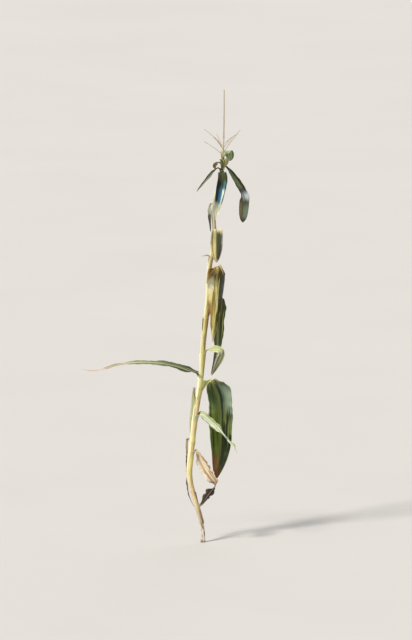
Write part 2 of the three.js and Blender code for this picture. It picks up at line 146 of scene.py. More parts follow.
FOLD_REACH = 0.6  # how far to each side of its middle a fold is felt, as a share of its length


def leaf(number, **sizes):
    """The sizes of one leaf, as in the part's source. collar is its height, side its azimuth, out the length
    in which it leaves the stem, rise its angle then, arc how far it is rolled at its foot and tip, loose how
    far its sheath's top stands off, blunt how long it keeps its width, foot its width at the collar and
    pinch what a sharp fold takes, both as shares. Each bend has its middle, how far it turns down, the
    length it is spread over, how far it turns aside and how far it twists. Angles are in degrees."""
    plain = dict(twist=0, cut=False, blunt=2.3, foot=COLLAR_WIDTH, pinch=0, bends=[])
    return SimpleNamespace(number=number, name=f"leaf_{number:02d}", **{**plain, **sizes})


LEAVES = [
    leaf(1, collar=416, side=-20, length=326, width=60, out=16, rise=-60, arc=(80, 60), wave=4, loose=1.4,
         blunt=4, pinch=0.3, cut=True, bends=[(30, 0, 56, 0, 80), (110, -10, 100, 0, 0), (182, 76, 50, 0, 0),
         (190, 0, 96, 0, 150)]),
    leaf(2, collar=468, side=126, length=352, width=24, out=14, rise=10, arc=(150, 150), wave=1.5, loose=1,
         bends=[(24, 100, 28, 0, 0), (64, 0, 40, 54, 0), (288, 30, 160, 0, 0)]),
    leaf(3, collar=572, side=-24, length=278, width=64, out=46, rise=-36, arc=(60, 70), wave=8, loose=1.2,
         foot=0.8, blunt=0.5, bends=[(30, 0, 50, 0, 56), (100, 6, 70, 0, 0), (120, 0, 80, 0, -30),
         (232, 20, 80, 0, -20)]),
    leaf(4, collar=682, side=40, length=582, width=118, out=46, rise=46, arc=(70, -40), twist=-26, wave=7,
         loose=1.2, foot=0.42, blunt=4, pinch=0.3, cut=True, bends=[(88, 106, 52, 0, -24),
         (190, 28, 110, 0, 0), (440, 16, 150, 0, 0)]),
    leaf(5, collar=768, side=177, length=554, width=50, out=26, rise=18, arc=(80, 90), twist=-8, wave=3,
         loose=1.4, foot=1, blunt=0.6, bends=[(44, 0, 50, 0, -48), (150, 16, 140, 0, 0),
         (340, 20, 220, 0, 0), (490, -28, 70, 0, 0)]),
    leaf(6, collar=876, side=-28, length=218, width=50, out=28, rise=8, arc=(70, 50), wave=2, loose=3.4,
         pinch=0.25, cut=True, bends=[(36, 0, 50, 0, 46), (88, 124, 56, 0, 0)]),
    leaf(7, collar=1045, side=38, length=486, width=60, out=46, rise=60, arc=(80, -60), twist=-48, wave=5,
         loose=3, pinch=0.4, cut=True, bends=[(112, 155, 70, 0, 0), (400, 20, 120, 0, 0)]),
    leaf(8, collar=1202, side=-58, length=476, width=86, out=40, rise=54, arc=(84, -110), twist=30, wave=6,
         loose=2, foot=0.4, pinch=0.6, cut=True, bends=[(112, 166, 46, 0, 0), (175, -16, 70, 0, 24)]),
    leaf(9, collar=1322, side=214, length=46, width=17, out=12, rise=0, arc=(130, 130), wave=0, loose=2.4),
    leaf(10, collar=1440, side=-74, length=184, width=58, out=16, rise=34, arc=(90, -110), twist=16, wave=3,
         loose=3.2, blunt=6, bends=[(28, 126, 30, 0, 0)]),
    leaf(11, collar=1566, side=180, length=138, width=27, out=7, rise=-70, arc=(90, 100), twist=-10,
         wave=1.5, loose=1.4, blunt=4, bends=[(16, 22, 20, 0, -24)]),
    leaf(12, collar=1702, side=-82, length=250, width=56, out=16, rise=34, arc=(96, 60), twist=8, wave=4,
         loose=4.4, bends=[(28, 124, 32, 0, 0), (60, 10, 30, 82, 82)]),
    leaf(13, collar=1724, side=172, length=160, width=26, out=18, rise=-34, arc=(70, 100), twist=-8,
         wave=1.5, loose=4.8, blunt=4, bends=[(20, 16, 20, 0, 0), (34, 0, 36, 0, -28)]),
    leaf(14, collar=1734, side=4, length=290, width=48, out=12, rise=-56, arc=(70, 70), twist=10, wave=2,
         loose=4, blunt=12, cut=True, bends=[(26, 0, 36, 0, 34), (90, 4, 60, 0, 0), (168, 34, 56, 0, 50)]),
    leaf(15, collar=1752, side=204, length=54, width=38, out=9, rise=10, arc=(100, 120), wave=3, loose=3.4,
         blunt=4, bends=[(24, 100, 24, 0, 0)]),
    leaf(16, collar=1768, side=-76, length=56, width=42, out=9, rise=20, arc=(90, 110), wave=3, loose=2.6,
         blunt=4, bends=[(22, 110, 24, 0, 0)]),
    leaf(17, collar=1784, side=60, length=102, width=50, out=16, rise=34, arc=(80, 60), wave=3, loose=1.8,
         blunt=7, bends=[(46, 110, 44, 0, 0)]),
]

# The ear
EAR_FOOT = 496
EAR_LENGTH = 218
EAR_RADIUS = 14
EAR_TIP_RADIUS = 1.6
EAR_SIDES = (104, 158)  # azimuth of its foot and of its tip
EAR_NEAR = 0.92  # how far its middle lies from the stem, as a share of its radius
HUSK_GRID = (36, 70)
HUSK_WALL = 0.5
HUSK_RIBS = 15
HUSK_RIB = 0.16
HUSK_LAYER = 0.55  # how far each layer lies over the one below
SILK_STRANDS = 70
SILK_FROM = 0.93  # where it starts along the ear
SILK_LENGTH = (8, 20)
SILK_RADII = (0.28, 0.12)  # at its root and at its end
SILK_RINGS = 9
SILK_SEED = 5

# The tassel
BRANCH_COUNT = 7
BRANCHES_FROM = 1792
BRANCHES_TO = 1842
BRANCH_TURN = 137.5
BRANCH_LENGTHS = (100, 142)
BRANCH_RISES = (34, 62)
BRANCH_UNEVEN = 24
BRANCH_DROOP = 14
FIRST_BRANCH_SIDE = 200
BRANCH_SEED = 11
DRAW_FACTOR = 1664525  # the source's way of drawing numbers
DRAW_OFFSET = 1013904223
DRAW_RANGE = 2 ** 32
SPIKELET_LENGTH = 9
SPIKELET_WIDTH = 2.5
SPIKELET_FLATNESS = 0.62
SPIKELET_SEED = 21
WHORL = 3  # spikelets round the spike at one height
WHORL_TURN = 0.9
WHORL_STEP = 3.1
BRANCH_RINGS = 37
BRANCH_RADII = (1.25, 0.45)  # at its foot and at its tip
SPIKE_RINGS = 60

# Plain colours that the finishes are mixed from
DEEP_GREEN = (0.034, 0.058, 0.018)
DARK_OLIVE = (0.07, 0.078, 0.018)
OLIVE = (0.15, 0.15, 0.036)
GREY_GREEN = (0.17, 0.2, 0.12)
PALE_GREEN = (0.42, 0.5, 0.29)
YELLOW_GREEN = (0.4, 0.39, 0.12)
AMBER = (0.44, 0.3, 0.085)
STRAW = (0.62, 0.54, 0.29)
CREAM = (0.78, 0.71, 0.48)
WHITISH = (0.78, 0.77, 0.64)
TAN = (0.5, 0.37, 0.23)
PINKISH = (0.6, 0.46, 0.35)
RUST = (0.36, 0.19, 0.07)
BROWN = (0.17, 0.09, 0.042)
DARK_BROWN = (0.06, 0.038, 0.026)
PURPLE_BROWN = (0.12, 0.078, 0.08)
# Near black, used only as painted shade
PAINTED_SHADE_BLACK = (0.022, 0.028, 0.024)


# Small rules that everything shares

KNOTS = 512
KNOTS_BEFORE = 40  # knots that lie before a line's start, for values below 0


def lerp(low, high, share):
    return low + (high - low) * share


def smooth(value):
    """0 below 0, 1 above 1, and a soft step between."""
    value = np.clip(value, 0, 1)
    return value * value * (3 - 2 * value)


def hump(value):
    """1 at 0, with a soft fall to each side."""
    return np.exp(-(value ** 2))


def unit(ways):
    return ways / np.linalg.norm(ways, axis=-1, keepdims=True)


def wander(seed, value, spacing):
    """A random line between -1 and 1 that turns softly, with one knot to each spacing."""
    knots = np.random.default_rng(seed).uniform(-1, 1, KNOTS)
    place = np.asarray(value, float) / spacing + KNOTS_BEFORE
    low = np.floor(place).astype(int)
    return lerp(knots[low % KNOTS], knots[(low + 1) % KNOTS], smooth(place - low))


def heading(azimuth, rise=0):
    """A way out at an azimuth and up at a rise, both in radians."""
    azimuth, rise = np.broadcast_arrays(azimuth, rise)
    flat = np.cos(rise)
    return np.stack([np.cos(azimuth) * flat, np.sin(azimuth) * flat, np.sin(rise)], axis=-1)


def stalk_at(height):
    """The middle of the stalk at a height."""
    height = np.asarray(height, float)
    turning = np.maximum(height - UPRIGHT_FROM, 0)
    settled = UPRIGHT_OVER * (1 - np.exp(-turning / UPRIGHT_OVER))
    sideways = LEAN * (np.minimum(height, UPRIGHT_FROM) + settled)
    sideways = sideways - FOOT_SWING * smooth(height / SWING_HEIGHT)
    for middle, half, reach in ASIDES:
        sideways = sideways + reach * smooth(1 - np.abs(height - middle) / half)
    away = DEPTH_BOW * np.sin(pi * height / PLANT_HEIGHT) ** 2
    return np.stack([sideways, away, height], axis=-1)


def sheath_spans():
    """The foot and top of each sheath, its looseness and the azimuth of its back."""
    foot, top = LOWEST_SHEATH
    spans = [SimpleNamespace(foot=foot, top=top, loose=1.2, side=150)]
    for each in LEAVES:
        foot = max(spans[-1].top + SHEATH_GAP, each.collar - SHEATH_LONGEST)
        spans.append(SimpleNamespace(foot=foot, top=each.collar, loose=each.loose, side=each.side))
    return spans


SPANS = sheath_spans()


def stalk_radius(height):
    foot = lerp(FOOT_RADIUS, BELLY_RADIUS, smooth(height / BELLY_HEIGHT))
    above = np.maximum(height - BELLY_HEIGHT, 0) / (STALK_TOP - BELLY_HEIGHT)
    flare = FLARE_RADIUS * hump(height / FLARE_HEIGHT)
    bulge = 0
    for span in SPANS:
        bulge = np.maximum(bulge, hump((height - span.foot) / JOINT_HALF_HEIGHT))
    return lerp(foot, TOP_RADIUS, above ** 2) + flare + JOINT_BULGE * bulge * (1 - above)


def sheath_bore(span, height):
    along = (height - span.foot) / (span.top - span.foot)
    return stalk_radius(height) + SHEATH_GAP + span.loose * smooth(along)


def stem_radius(height):
    """The outside radius of the stalk with whatever sheath is on it."""
    height = np.asarray(height, float)
    radius = stalk_radius(height)
    for span in SPANS:
        within = (height >= span.foot) & (height <= span.top)
        radius = np.where(within, sheath_bore(span, height) + SHEATH_THICKNESS, radius)
    return radius


def clear_of_stem(points, gap):
    """Moves points that would lie in the stem out to its surface."""
    axis = stalk_at(points[:, 2])
    aside = points[:, :2] - axis[:, :2]
    away = np.maximum(np.linalg.norm(aside, axis=1), 1e-3)
    least = stem_radius(points[:, 2]) + gap
    least = np.where((points[:, 2] > 0) & (points[:, 2] < STALK_TOP), least, 0)
    moved = points.copy()
    moved[:, :2] = axis[:, :2] + aside * np.maximum(least / away, 1)[:, None]
    return moved


# Modelling as by hand: the stalk starts from a circle, and each sheet from a grid

def deselect():
    bpy.ops.object.select_all(action="DESELECT")


def edit(piece, *steps):
    """Carries out edit-mode steps on a whole piece. A step is an operator and its settings."""
    deselect()
    bpy.context.view_layer.objects.active = piece
    piece.select_set(True)
    bpy.ops.object.mode_set(mode="EDIT")
    bpy.ops.mesh.select_all(action="SELECT")
    for operator, settings in steps:
        operator(**settings)
    bpy.ops.object.mode_set(mode="OBJECT")


def points_of(piece):
    found = np.empty(len(piece.data.vertices) * 3, np.float32)
    piece.data.vertices.foreach_get("co", found)
    return found.reshape(-1, 3).astype(float)


def put_points(piece, points):
    piece.data.vertices.foreach_set("co", (points * MM).astype(np.float32).ravel())
    piece.data.update()


def weigh(piece, weights):
    """A vertex group that says how much of the wall's thickness each point gets."""
    group = piece.vertex_groups.new(name="thickness")
    for level in np.unique(np.round(weights, 2)):
        chosen = np.nonzero(np.round(weights, 2) == level)[0]
        group.add(chosen.tolist(), float(level), "REPLACE")
    return group


def strip(columns, rows, carry, wall, weights=None):
    """A grid is added, each of its points is carried to its place, and the sheet gets its thickness.

    carry takes each point's place across the grid, from -1 to 1, and its share of the way along it."""
    deselect()
    bpy.ops.mesh.primitive_grid_add(x_subdivisions=columns, y_subdivisions=rows, size=2)
    piece = bpy.context.object
    flat = points_of(piece)
    across = flat[:, 0]
    along = (flat[:, 1] + 1) / 2
    put_points(piece, carry(across, along))
    solidify = piece.modifiers.new("wall", "SOLIDIFY")
    solidify.thickness = wall * MM
    solidify.offset = 0
    if weights is not None:
        solidify.vertex_group = weigh(piece, weights(across, along)).name
    bpy.ops.object.modifier_apply(modifier=solidify.name)
    piece.vertex_groups.clear()
    bpy.ops.object.shade_smooth()
    return piece


def joined(pieces):
    """Several pieces made one."""
    deselect()
    for piece in pieces:
        piece.select_set(True)
    bpy.context.view_layer.objects.active = pieces[0]
    bpy.ops.object.join()
    return bpy.context.object


def built(parts):
    """One smooth mesh made of many parts, each of them points and faces."""
    points = []
    faces = []
    count = 0
    for found, own in parts:
        points.append(found)
        faces.extend([[corner + count for corner in face] for face in own])
        count += len(found)
    mesh = bpy.data.meshes.new("built")
    mesh.from_pydata((np.concatenate(points) * MM).tolist(), [], faces)
    mesh.polygons.foreach_set("use_smooth", np.ones(len(mesh.polygons), bool))
    piece = bpy.data.objects.new("built", mesh)
    bpy.context.scene.collection.objects.link(piece)
    return piece


def scattered(template, places, tints):
    """Many copies of a small piece as one. Each place is a point, three directions and a size, and tints
    says which of the piece's finishes each copy gets."""
    shape = points_of(template)
    faces = [list(face.vertices) for face in template.data.polygons]
    piece = built([(centre + (shape * size) @ directions, faces) for centre, directions, size in places])
    piece.data.polygons.foreach_set("material_index", np.repeat(tints, len(faces)).astype(np.int32))
    return piece


def settle(piece, name, slot, finishes, *nodes):
    """Names a finished piece, gives it its finishes and has it stand for the solids that it dresses."""
    piece.name = name
    piece.data.name = name
    piece.data.materials.clear()
    for finish in finishes:
        piece.data.materials.append(finish)
    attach(piece, "root")
    if nodes:
        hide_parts(*nodes)


# Finishes

class Wire:
    """The output of a shader node. Sums on it add Math nodes."""

    def __init__(self, finish, socket):
        self.finish = finish
        self.socket = socket

    def sum(self, operation, *values):
        return self.finish.node("ShaderNodeMath", {"operation": operation}, dict(enumerate(values)))

    def __add__(self, other):
        return self.sum("ADD", self, other)

    def __sub__(self, other):
        return self.sum("SUBTRACT", self, other)

    def __rsub__(self, other):
        return self.sum("SUBTRACT", other, self)

    def __mul__(self, other):
        return self.sum("MULTIPLY", self, other)

    def __truediv__(self, other):
        return self.sum("DIVIDE", self, other)

    def sway(self, reach):
        """A noise shifted to go to both sides of 0, and given its reach."""
        return (self - 0.5) * reach

    def size(self):
        return self.sum("ABSOLUTE", self)

    def sine(self):
        return self.sum("SINE", self)

    __radd__ = __add__
    __rmul__ = __mul__


class Finish:
    """A new material and the nodes that give it its colour, gloss and relief. Its colour is laid in
    coats, each over the ones before."""

    def __init__(self, name):
        self.colour = None
        self.material = bpy.data.materials.new(name)
        self.material.use_nodes = True
        self.tree = self.material.node_tree
        self.shader = self.tree.nodes["Principled BSDF"]

    def feed(self, socket, value):
        if isinstance(value, Wire):
            self.tree.links.new(value.socket, socket)
        elif isinstance(value, tuple) and len(value) == 3 and socket.type == "RGBA":
            socket.default_value = (*value, 1)
        else:
            socket.default_value = value

    def node(self, kind, settings, inputs, output=0):
        """A node of any kind, with its settings, the values or wires of its sockets, and the output used."""
        made = self.tree.nodes.new(kind)
        for key, value in settings.items():
            setattr(made, key, value)
        for key, value in inputs.items():
            self.feed(made.inputs[key], value)
        return Wire(self, made.outputs[output])

    def mix(self, factor, first, second):
        """A colour between two, and the second where the factor is 1."""
        settings = {"data_type": "RGBA", "clamp_factor": True}
        return self.node("ShaderNodeMix", settings, {0: factor, 6: first, 7: second}, 2)

    def toned(self, value, tones, soft):
        """A colour that goes from one tone to the next as a value grows past the level of each."""
        (_, colour), *later = tones.items()
        for level, tone in later:
            colour = self.mix(self.step(value, level - soft, level + soft), colour, tone)
        return colour

    def coat(self, factor, colour):
        """Lays a colour over what is there, where the factor is 1."""
        self.colour = self.mix(factor, self.colour, colour)

    def shade(self, factor):
        """Makes the colour darker or lighter by a factor."""
        grey = self.node("ShaderNodeCombineXYZ", {}, {0: factor, 1: factor, 2: factor})
        self.colour = self.node("ShaderNodeVectorMath", {"operation": "MULTIPLY"}, {0: self.colour, 1: grey})

    def step(self, value, low, high):
        """0 below low, 1 above high, and a soft step between."""
        settings = {"interpolation_type": "SMOOTHSTEP", "clamp": True}
        return self.node("ShaderNodeMapRange", settings, {"Value": value, "From Min": low, "From Max": high})

    def noise(self, x, y, z, detail=2, rough=0.5):
        place = self.node("ShaderNodeCombineXYZ", {}, {0: x, 1: y, 2: z})
        return self.node("ShaderNodeTexNoise", {}, {"Vector": place, "Scale": 1, "Detail": detail,
                                                     "Roughness": rough})

    def apart(self, vector):
        return [self.node("ShaderNodeSeparateXYZ", {}, {0: vector}, axis) for axis in range(3)]

    def on_strip(self):
        """The place across the piece's own strip, from -1 to 1, and the share of the way along it."""
        u, v, _ = self.apart(self.node("ShaderNodeUVMap", {"uv_map": "UVMap"}, {}))
        return u * 2 - 1, v

    def on_plant(self):
        """The place on the plant, in millimetres."""
        place = self.node("ShaderNodeTexCoord", {}, {}, "Object")
        return [each * 1000 for each in self.apart(place)]

    def aside(self, x, height):
        """How far to the right of the stalk's middle a place is, in millimetres."""
        middle = height * LEAN - self.step(height, 0, SWING_HEIGHT) * FOOT_SWING
        for level, half, reach in ASIDES:
            middle = middle + self.step(1 - (height - level).size() / half, 0, 1) * reach
        return x - middle

    def finish(self, rough, height, depth, sheen=0.3):
        """Joins colour, roughness and relief to the shader. The relief's depth is in millimetres."""
        self.feed(self.shader.inputs["Base Color"], self.colour)
        self.feed(self.shader.inputs["Roughness"], rough)
        self.shader.inputs["Specular IOR Level"].default_value = sheen
        bump = self.node("ShaderNodeBump", {}, {"Strength": 1, "Distance": depth * MM, "Height": height})
        self.feed(self.shader.inputs["Normal"], bump)
        return self.material


def blade_finish(each, seed, tones, side=None, dark=(DEEP_GREEN, 0.4), pale=(YELLOW_GREEN, 0.4),
                 vein=PALE_GREEN, rib=STRAW, rim=STRAW, spots=0.25, tip=TAN, dry=0.94, patches=()):
    """A leaf's blade. tones are its colours from collar to tip. side says where another set of tones lies:
    on which side of the midrib (-1 or 1, and 0 is both), from how far out, and the tones. dark and pale are
    bands along it, with how much of the blade they take, vein is its fine lines, and tip its withered end,
    from dry onwards. Each patch has its side, how far out it starts, the shares of the length that it lies
    between, and its colour."""
    made = Finish(each.name + " blade")
    place, along = made.on_strip()
    x = place * (each.width / 2)
    y = along * (each.length + BLADE_ROOT) - BLADE_ROOT
    share = y / each.length
    fine = made.noise(x / 0.8, y / 110, seed, 3, 0.6)
    broad = made.noise(x / 3.4, y / 150, seed + 5)
    wide = made.noise(x / (4 + each.width / 9), y / 190, seed + 17, 1)
    cloud = made.noise(x / 14, y / 36, seed + 9, 3, 0.6)
    speck = made.noise(x / 1.7, y / 6.5, seed + 13, 2, 0.6)
    reached = share + broad.sway(0.24)

    def beyond(hand, start, uneven, soft):
        out = place * hand if hand else place.size()
        return made.step(out + broad.sway(uneven) + cloud.sway(0.3), start - soft, start + soft)

    made.colour = made.toned(reached, tones, 0.04)
    # On some leaves this second set of tones is painted shade, highlight and sky reflection, as said at each
    # leaf
    if side:
        hand, start, side_tones = side
        made.coat(beyond(hand, start, 0.5, 0.12), made.toned(reached, side_tones, 0.04))
    band = wide + broad.sway(0.6) + fine.sway(0.2)
    for level, (colour, taken) in ((band, pale), (1 - band, dark)):
        made.coat(made.step(level, 0.62 - 0.14 * taken, 0.67 - 0.14 * taken) * 0.85, colour)
    made.coat(made.step(fine, 0.44, 0.7) * 0.25, vein)
    frayed = reached + fine.sway(0.16)
    # Some patches are painted shade, shadow, highlights and sky reflection, as said at each leaf
    for hand, start, low, high, colour in patches:
        covered = beyond(hand, start, 0.6, 0.16) * made.step(frayed, low - 0.05, low + 0.04)
        made.coat(covered * made.step(1 - frayed, 0.95 - high, 1.04 - high) * 0.9, colour)
    spotted = made.step(speck + cloud.sway(0.6), 0.74 - 0.16 * spots, 0.8 - 0.16 * spots)
    made.coat(spotted * 0.75, BROWN)
    old = made.step(share + cloud.sway(0.25) + place.size() * 0.04, dry - 0.03, dry + 0.05)
    made.coat(old, tip)
    middle = 1 - made.step(x.size() + share * 2, 1.9, 3.4)
    made.coat(middle * (0.55 + fine * 0.4), rib)
    edge = made.step(place.size() + cloud.sway(0.08) + fine.sway(0.05), 0.92, 0.98)
    made.coat(edge * 0.8, rim)
    collar = 1 - made.step(y + fine.sway(8), 2, 9)
    made.coat(collar * 0.6, STRAW)
    made.shade(0.8 + fine * 0.22 + cloud * 0.18)
    veins = (x * (2 * pi / VEIN_WIDTH)).sine() * 0.5 + fine
    return made.finish(0.5 + old * 0.3 + spotted * 0.25 + fine * 0.08, veins + cloud, 0.22, 0.1)


# The stem's colours by height: pinkish, then straw and pale yellow-green, olive at the crown, then tan
STEM_TONES = {0: PINKISH, 60: TAN, 150: (0.84, 0.7, 0.4), 280: (0.86, 0.8, 0.34), 480: (0.82, 0.73, 0.37),
              640: (0.74, 0.74, 0.36), 800: (0.68, 0.65, 0.22), 1000: (0.68, 0.59, 0.22),
              1120: (0.72, 0.63, 0.31), 1330: (0.64, 0.57, 0.25), 1466: (0.62, 0.6, 0.48),
              1578: (0.4, 0.4, 0.2), 1690: (0.17, 0.18, 0.06), 1800: (0.48, 0.39, 0.24)}
# The painted shade on its right side, as colours by height
SHADED_TONES = {0: PURPLE_BROWN, 150: (0.72, 0.54, 0.26), 280: (0.78, 0.68, 0.2), 480: (0.62, 0.47, 0.18),
                660: (0.54, 0.52, 0.21), 800: (0.42, 0.37, 0.12), 920: (0.3, 0.22, 0.06),
                1060: (0.56, 0.48, 0.18), 1200: (0.44, 0.36, 0.16), 1400: (0.42, 0.37, 0.3),
                1578: (0.18, 0.17, 0.07), 1690: (0.065, 0.06, 0.022), 1800: (0.26, 0.19, 0.11)}
# The dark lines down it, which are strongest on the right, and the painted sunlight on its left edge
LINE_TONES = {0: (0.44, 0.2, 0.06), 500: (0.3, 0.16, 0.03), 800: (0.2, 0.12, 0.03)}
PAINTED_SUNLIGHT_TONES = {0: (0.64, 0.56, 0.5), 150: (0.72, 0.63, 0.58), 310: (0.9, 0.86, 0.56)}


def stalk_finish():
    """The bare stalk: pale, with fine fibres and rusty blotches, mottled white and purple at the foot."""
    made = Finish("stalk skin")
    x, y, z = made.on_plant()
    fibres = made.noise(x / 0.9, y / 0.9, z / 45, 3, 0.6)
    blotch = made.noise(x / 7, y / 7, z / 26, 3)
    made.colour = made.toned(z + blotch * 30, STEM_TONES, 24)
    made.coat(made.step(fibres, 0.45, 0.7) * 0.5, CREAM)
    low = 1 - made.step(z, 60, 150)
    made.coat(made.step(blotch, 0.5, 0.56) * low * 0.7, WHITISH)
    made.coat(made.step(1 - blotch, 0.5, 0.6) * low * 0.85, PURPLE_BROWN)
    made.coat(made.step(blotch, 0.62, 0.72) * 0.6, RUST)
    ground = 1 - made.step(z + blotch * 14, 8, 22)
    made.coat(ground * 0.7, BROWN)
    made.shade(0.8 + fibres * 0.25 + blotch * 0.15)
    return made.finish(0.48 + fibres * 0.2, fibres + blotch * 0.6, 0.35)


def sheath_finish():
    """A sheath, ribbed: painted sunlight on the left, painted shade and brown streaks on the right, dry
    papery edges.
    """
    made = Finish("sheath skin")
    place, _ = made.on_strip()
    x, y, height = made.on_plant()
    ribs = (place * (pi * SHEATH_RIBS)).sine()
    fine = made.noise(place * 42, height / 70, 1, 3, 0.6)
    broad = made.noise(place * 9, height / 120, 4, 3, 0.55)
    cloud = made.noise(place * 3, height / 26, 8, 4, 0.6)
    speck = made.noise(place * 16, height / 7, 12, 2, 0.6)
    off = made.aside(x, height)
    streak = made.noise(off / 5.6, y / 14, height / 120, 1)
    aside = off + broad.sway(12)
    level = height + cloud.sway(80)
    # The right side gets painted shade, and the left edge gets painted sunlight
    right = made.step(aside, -2, 6)
    painted_sun_side = 1 - made.step(aside, -8, -3)
    made.colour = made.toned(level, STEM_TONES, 50)
    made.coat(made.step(1 - broad, 0.5, 0.6) * 0.5, (0.38, 0.38, 0.1))
    made.coat(made.step(fine, 0.44, 0.66) * 0.35, CREAM)
    made.coat(made.step(broad, 0.52, 0.6) * 0.25, AMBER)
    made.coat(right * 0.85, made.toned(level, SHADED_TONES, 50))
    upper = made.step(height, 1600, 1700)
    lined = made.step(streak, 0.53, 0.6) * (0.5 + right * 0.2)
    made.coat(lined, made.toned(height, LINE_TONES, 60))
    # Painted sunlight along the left edge, weaker near the top
    painted_sunlight = painted_sun_side * (0.55 + made.step(fine, 0.36, 0.56) * 0.38 - upper * 0.5)
    made.coat(painted_sunlight, made.toned(height, PAINTED_SUNLIGHT_TONES, 60))
    browned = made.step(fine + broad, 1.04, 1.16) * (0.15 + right * 0.45 + upper * 0.3)
    made.coat(browned * 0.85, RUST)
    spotted = made.step(speck + cloud.sway(0.5), 0.66 - upper * 0.12, 0.74 - upper * 0.12)
    made.coat(spotted * 0.7, BROWN)
    edge = made.step(place.size() + fine.sway(0.12), 0.9, 0.97)
    made.coat(edge * 0.7, TAN)
    made.shade(0.84 + ribs * 0.03 + fine * 0.2 + cloud * 0.12)
    return made.finish(0.5 + fine * 0.15 + edge * 0.2, ribs * 0.4 + fine + cloud * 0.5, 0.25)


def husk_finish():
    """The ear's husk: pale green to straw, ribbed lengthways, drying towards its tips and edges."""
    made = Finish("husk skin")
    place, share = made.on_strip()
    fine = made.noise(place * 16, share * 3, 2, 3, 0.6)
    broad = made.noise(place * 3, share * 2, 6, 3)
    ribs = (place * (pi * HUSK_RIBS)).sine()
    made.colour = made.mix(made.step(broad, 0.4, 0.6), (0.36, 0.39, 0.2), (0.56, 0.56, 0.34))
    made.coat(made.step(fine, 0.45, 0.7) * 0.5, (0.62, 0.63, 0.44))
    made.coat(made.step(share + broad.sway(0.3), 0.84, 1) * 0.8, STRAW)
    edge = made.step(place.size() + fine.sway(0.2), 0.88, 0.98)
    made.coat(edge * 0.5, TAN)
    made.shade(0.82 + ribs * 0.05 + fine * 0.22)
    return made.finish(0.6 + fine * 0.15, ribs * 0.5 + fine, 0.3)


def plain_finish(name, colour):
    """A dry, plain-coloured finish for the small parts that are dealt out by the hundred."""
    made = Finish(name)
    x, y, z = made.on_plant()
    grain = made.noise(x / 1.2, y / 1.2, z / 3)
    made.colour = colour
    made.shade(0.75 + grain * 0.5)
    return made.finish(0.75, grain, 0.12)


# The stalk

def stalk_heights():
    """Heights of the stalk's rings, close together on the bare foot and at the joints."""
    heights = [0]
    while heights[-1] < STALK_TOP:
        here = heights[-1]
        near = min(abs(here - span.foot) for span in SPANS)
        fine = here < BARE_FOOT or near < 2 * JOINT_HALF_HEIGHT
        heights.append(min(here + (STALK_FINE_STEP if fine else STALK_STEP), STALK_TOP))
    return heights


def stalk_relief(angle, height):
    """How far the stalk's surface stands out from its plain radius, with ribs, joints and bud grooves."""
    relief = STALK_RIB * np.sin(STALK_RIBS * angle) * smooth(height / 20)
    for number, foot in enumerate([*FOOT_JOINTS, *(span.foot for span in SPANS)]):
        above = height - foot
        ridge = hump(above / 1.6) - 0.7 * hump((above - 3.2) / 1.8)
        facing = np.maximum(np.cos(angle - pi * number), 0) ** 8
        groove = facing * smooth(above / 8) * smooth((60 - above) / 50)
        relief = relief + JOINT_RIDGE * ridge * (1 + 0.25 * np.sin(9 * angle)) - BUD_GROOVE * groove
    return relief


def make_stalk():
    """A circle at the ground, drawn up ring by ring and then given its relief."""
    heights = stalk_heights()
    deselect()
    bpy.ops.mesh.primitive_circle_add(vertices=STALK_SIDES, radius=float(stalk_radius(0)) * MM,
                                      fill_type="NGON", location=(0, 0, 0))
    piece = bpy.context.object
    steps = []
    for low, high in zip(heights, heights[1:]):
        rise = (stalk_at(high) - stalk_at(low)) * MM
        steps.append((bpy.ops.mesh.extrude_region_move, {"TRANSFORM_OT_translate": {"value": tuple(rise)}}))
    edit(piece, *steps)
    points = points_of(piece) / MM
    level = points[:, 2]
    aside = points - stalk_at(level)
    angle = np.arctan2(aside[:, 1], aside[:, 0])
    radius = stalk_radius(level) + stalk_relief(angle, level)
    put_points(piece, stalk_at(level) + radius[:, None] * heading(angle))
    edit(piece, (bpy.ops.mesh.normals_make_consistent, {"inside": False}))
    bpy.ops.object.shade_smooth_by_angle(angle=radians(SHARP_EDGE))
    return piece


# The sheaths

def sheath_points(span, number, across, along):
    """A sleeve whose one edge laps over the other. Its edges part towards the top, opposite the leaf."""
    height = lerp(span.foot - SHEATH_TUCK, span.top, along)
    share = np.clip((height - span.foot) / (span.top - span.foot), 0, 1)
    parting = lerp(SHEATH_LAP, -SHEATH_PARTS, smooth((share - 0.25) / 0.75))
    wobble = 0.05 * wander(70 + number, height, 24)
    angle = radians(span.side) + across * (pi + parting + wobble)
    outside = sheath_bore(span, np.maximum(height, span.foot)) + SHEATH_THICKNESS
    tucked = stalk_radius(height) + 1.3
    swells = LOWEST_SWELL if number else SHEATH_SWELL
    wall = lerp(tucked, outside, smooth((height - span.foot + 5) / swells)) - SHEATH_WALL / 2
    lapping = smooth((np.abs(across) - 0.55) / 0.45) * smooth((parting + 0.5) / 0.5)
    lap = SHEATH_OVERLAP * np.sign(across) * lapping
    ribs = SHEATH_RIB * np.sin(pi * SHEATH_RIBS * across)
    keel = SHEATH_KEEL * hump(across / 0.05) * share ** 2
    lifted = EDGE_LIFT * smooth((np.abs(across) - 0.86) / 0.14) * smooth((share - 0.5) / 0.5)
    uneven = SHEATH_UNEVEN * wander(30 + number, angle * 9 + height * 0.11, 3.1) * share
    radius = wall + lap + ribs + keel + lifted + uneven
    drop = EDGE_DROP * across ** 4 * smooth((share - 0.8) / 0.2)
    return stalk_at(height - drop) + radius[:, None] * heading(angle)


def make_sheath(span, number):
    rows = max(12, round((span.top - span.foot + SHEATH_TUCK) / SHEATH_STEP))
    return strip(SHEATH_COLUMNS, rows, partial(sheath_points, span, number), SHEATH_WALL)


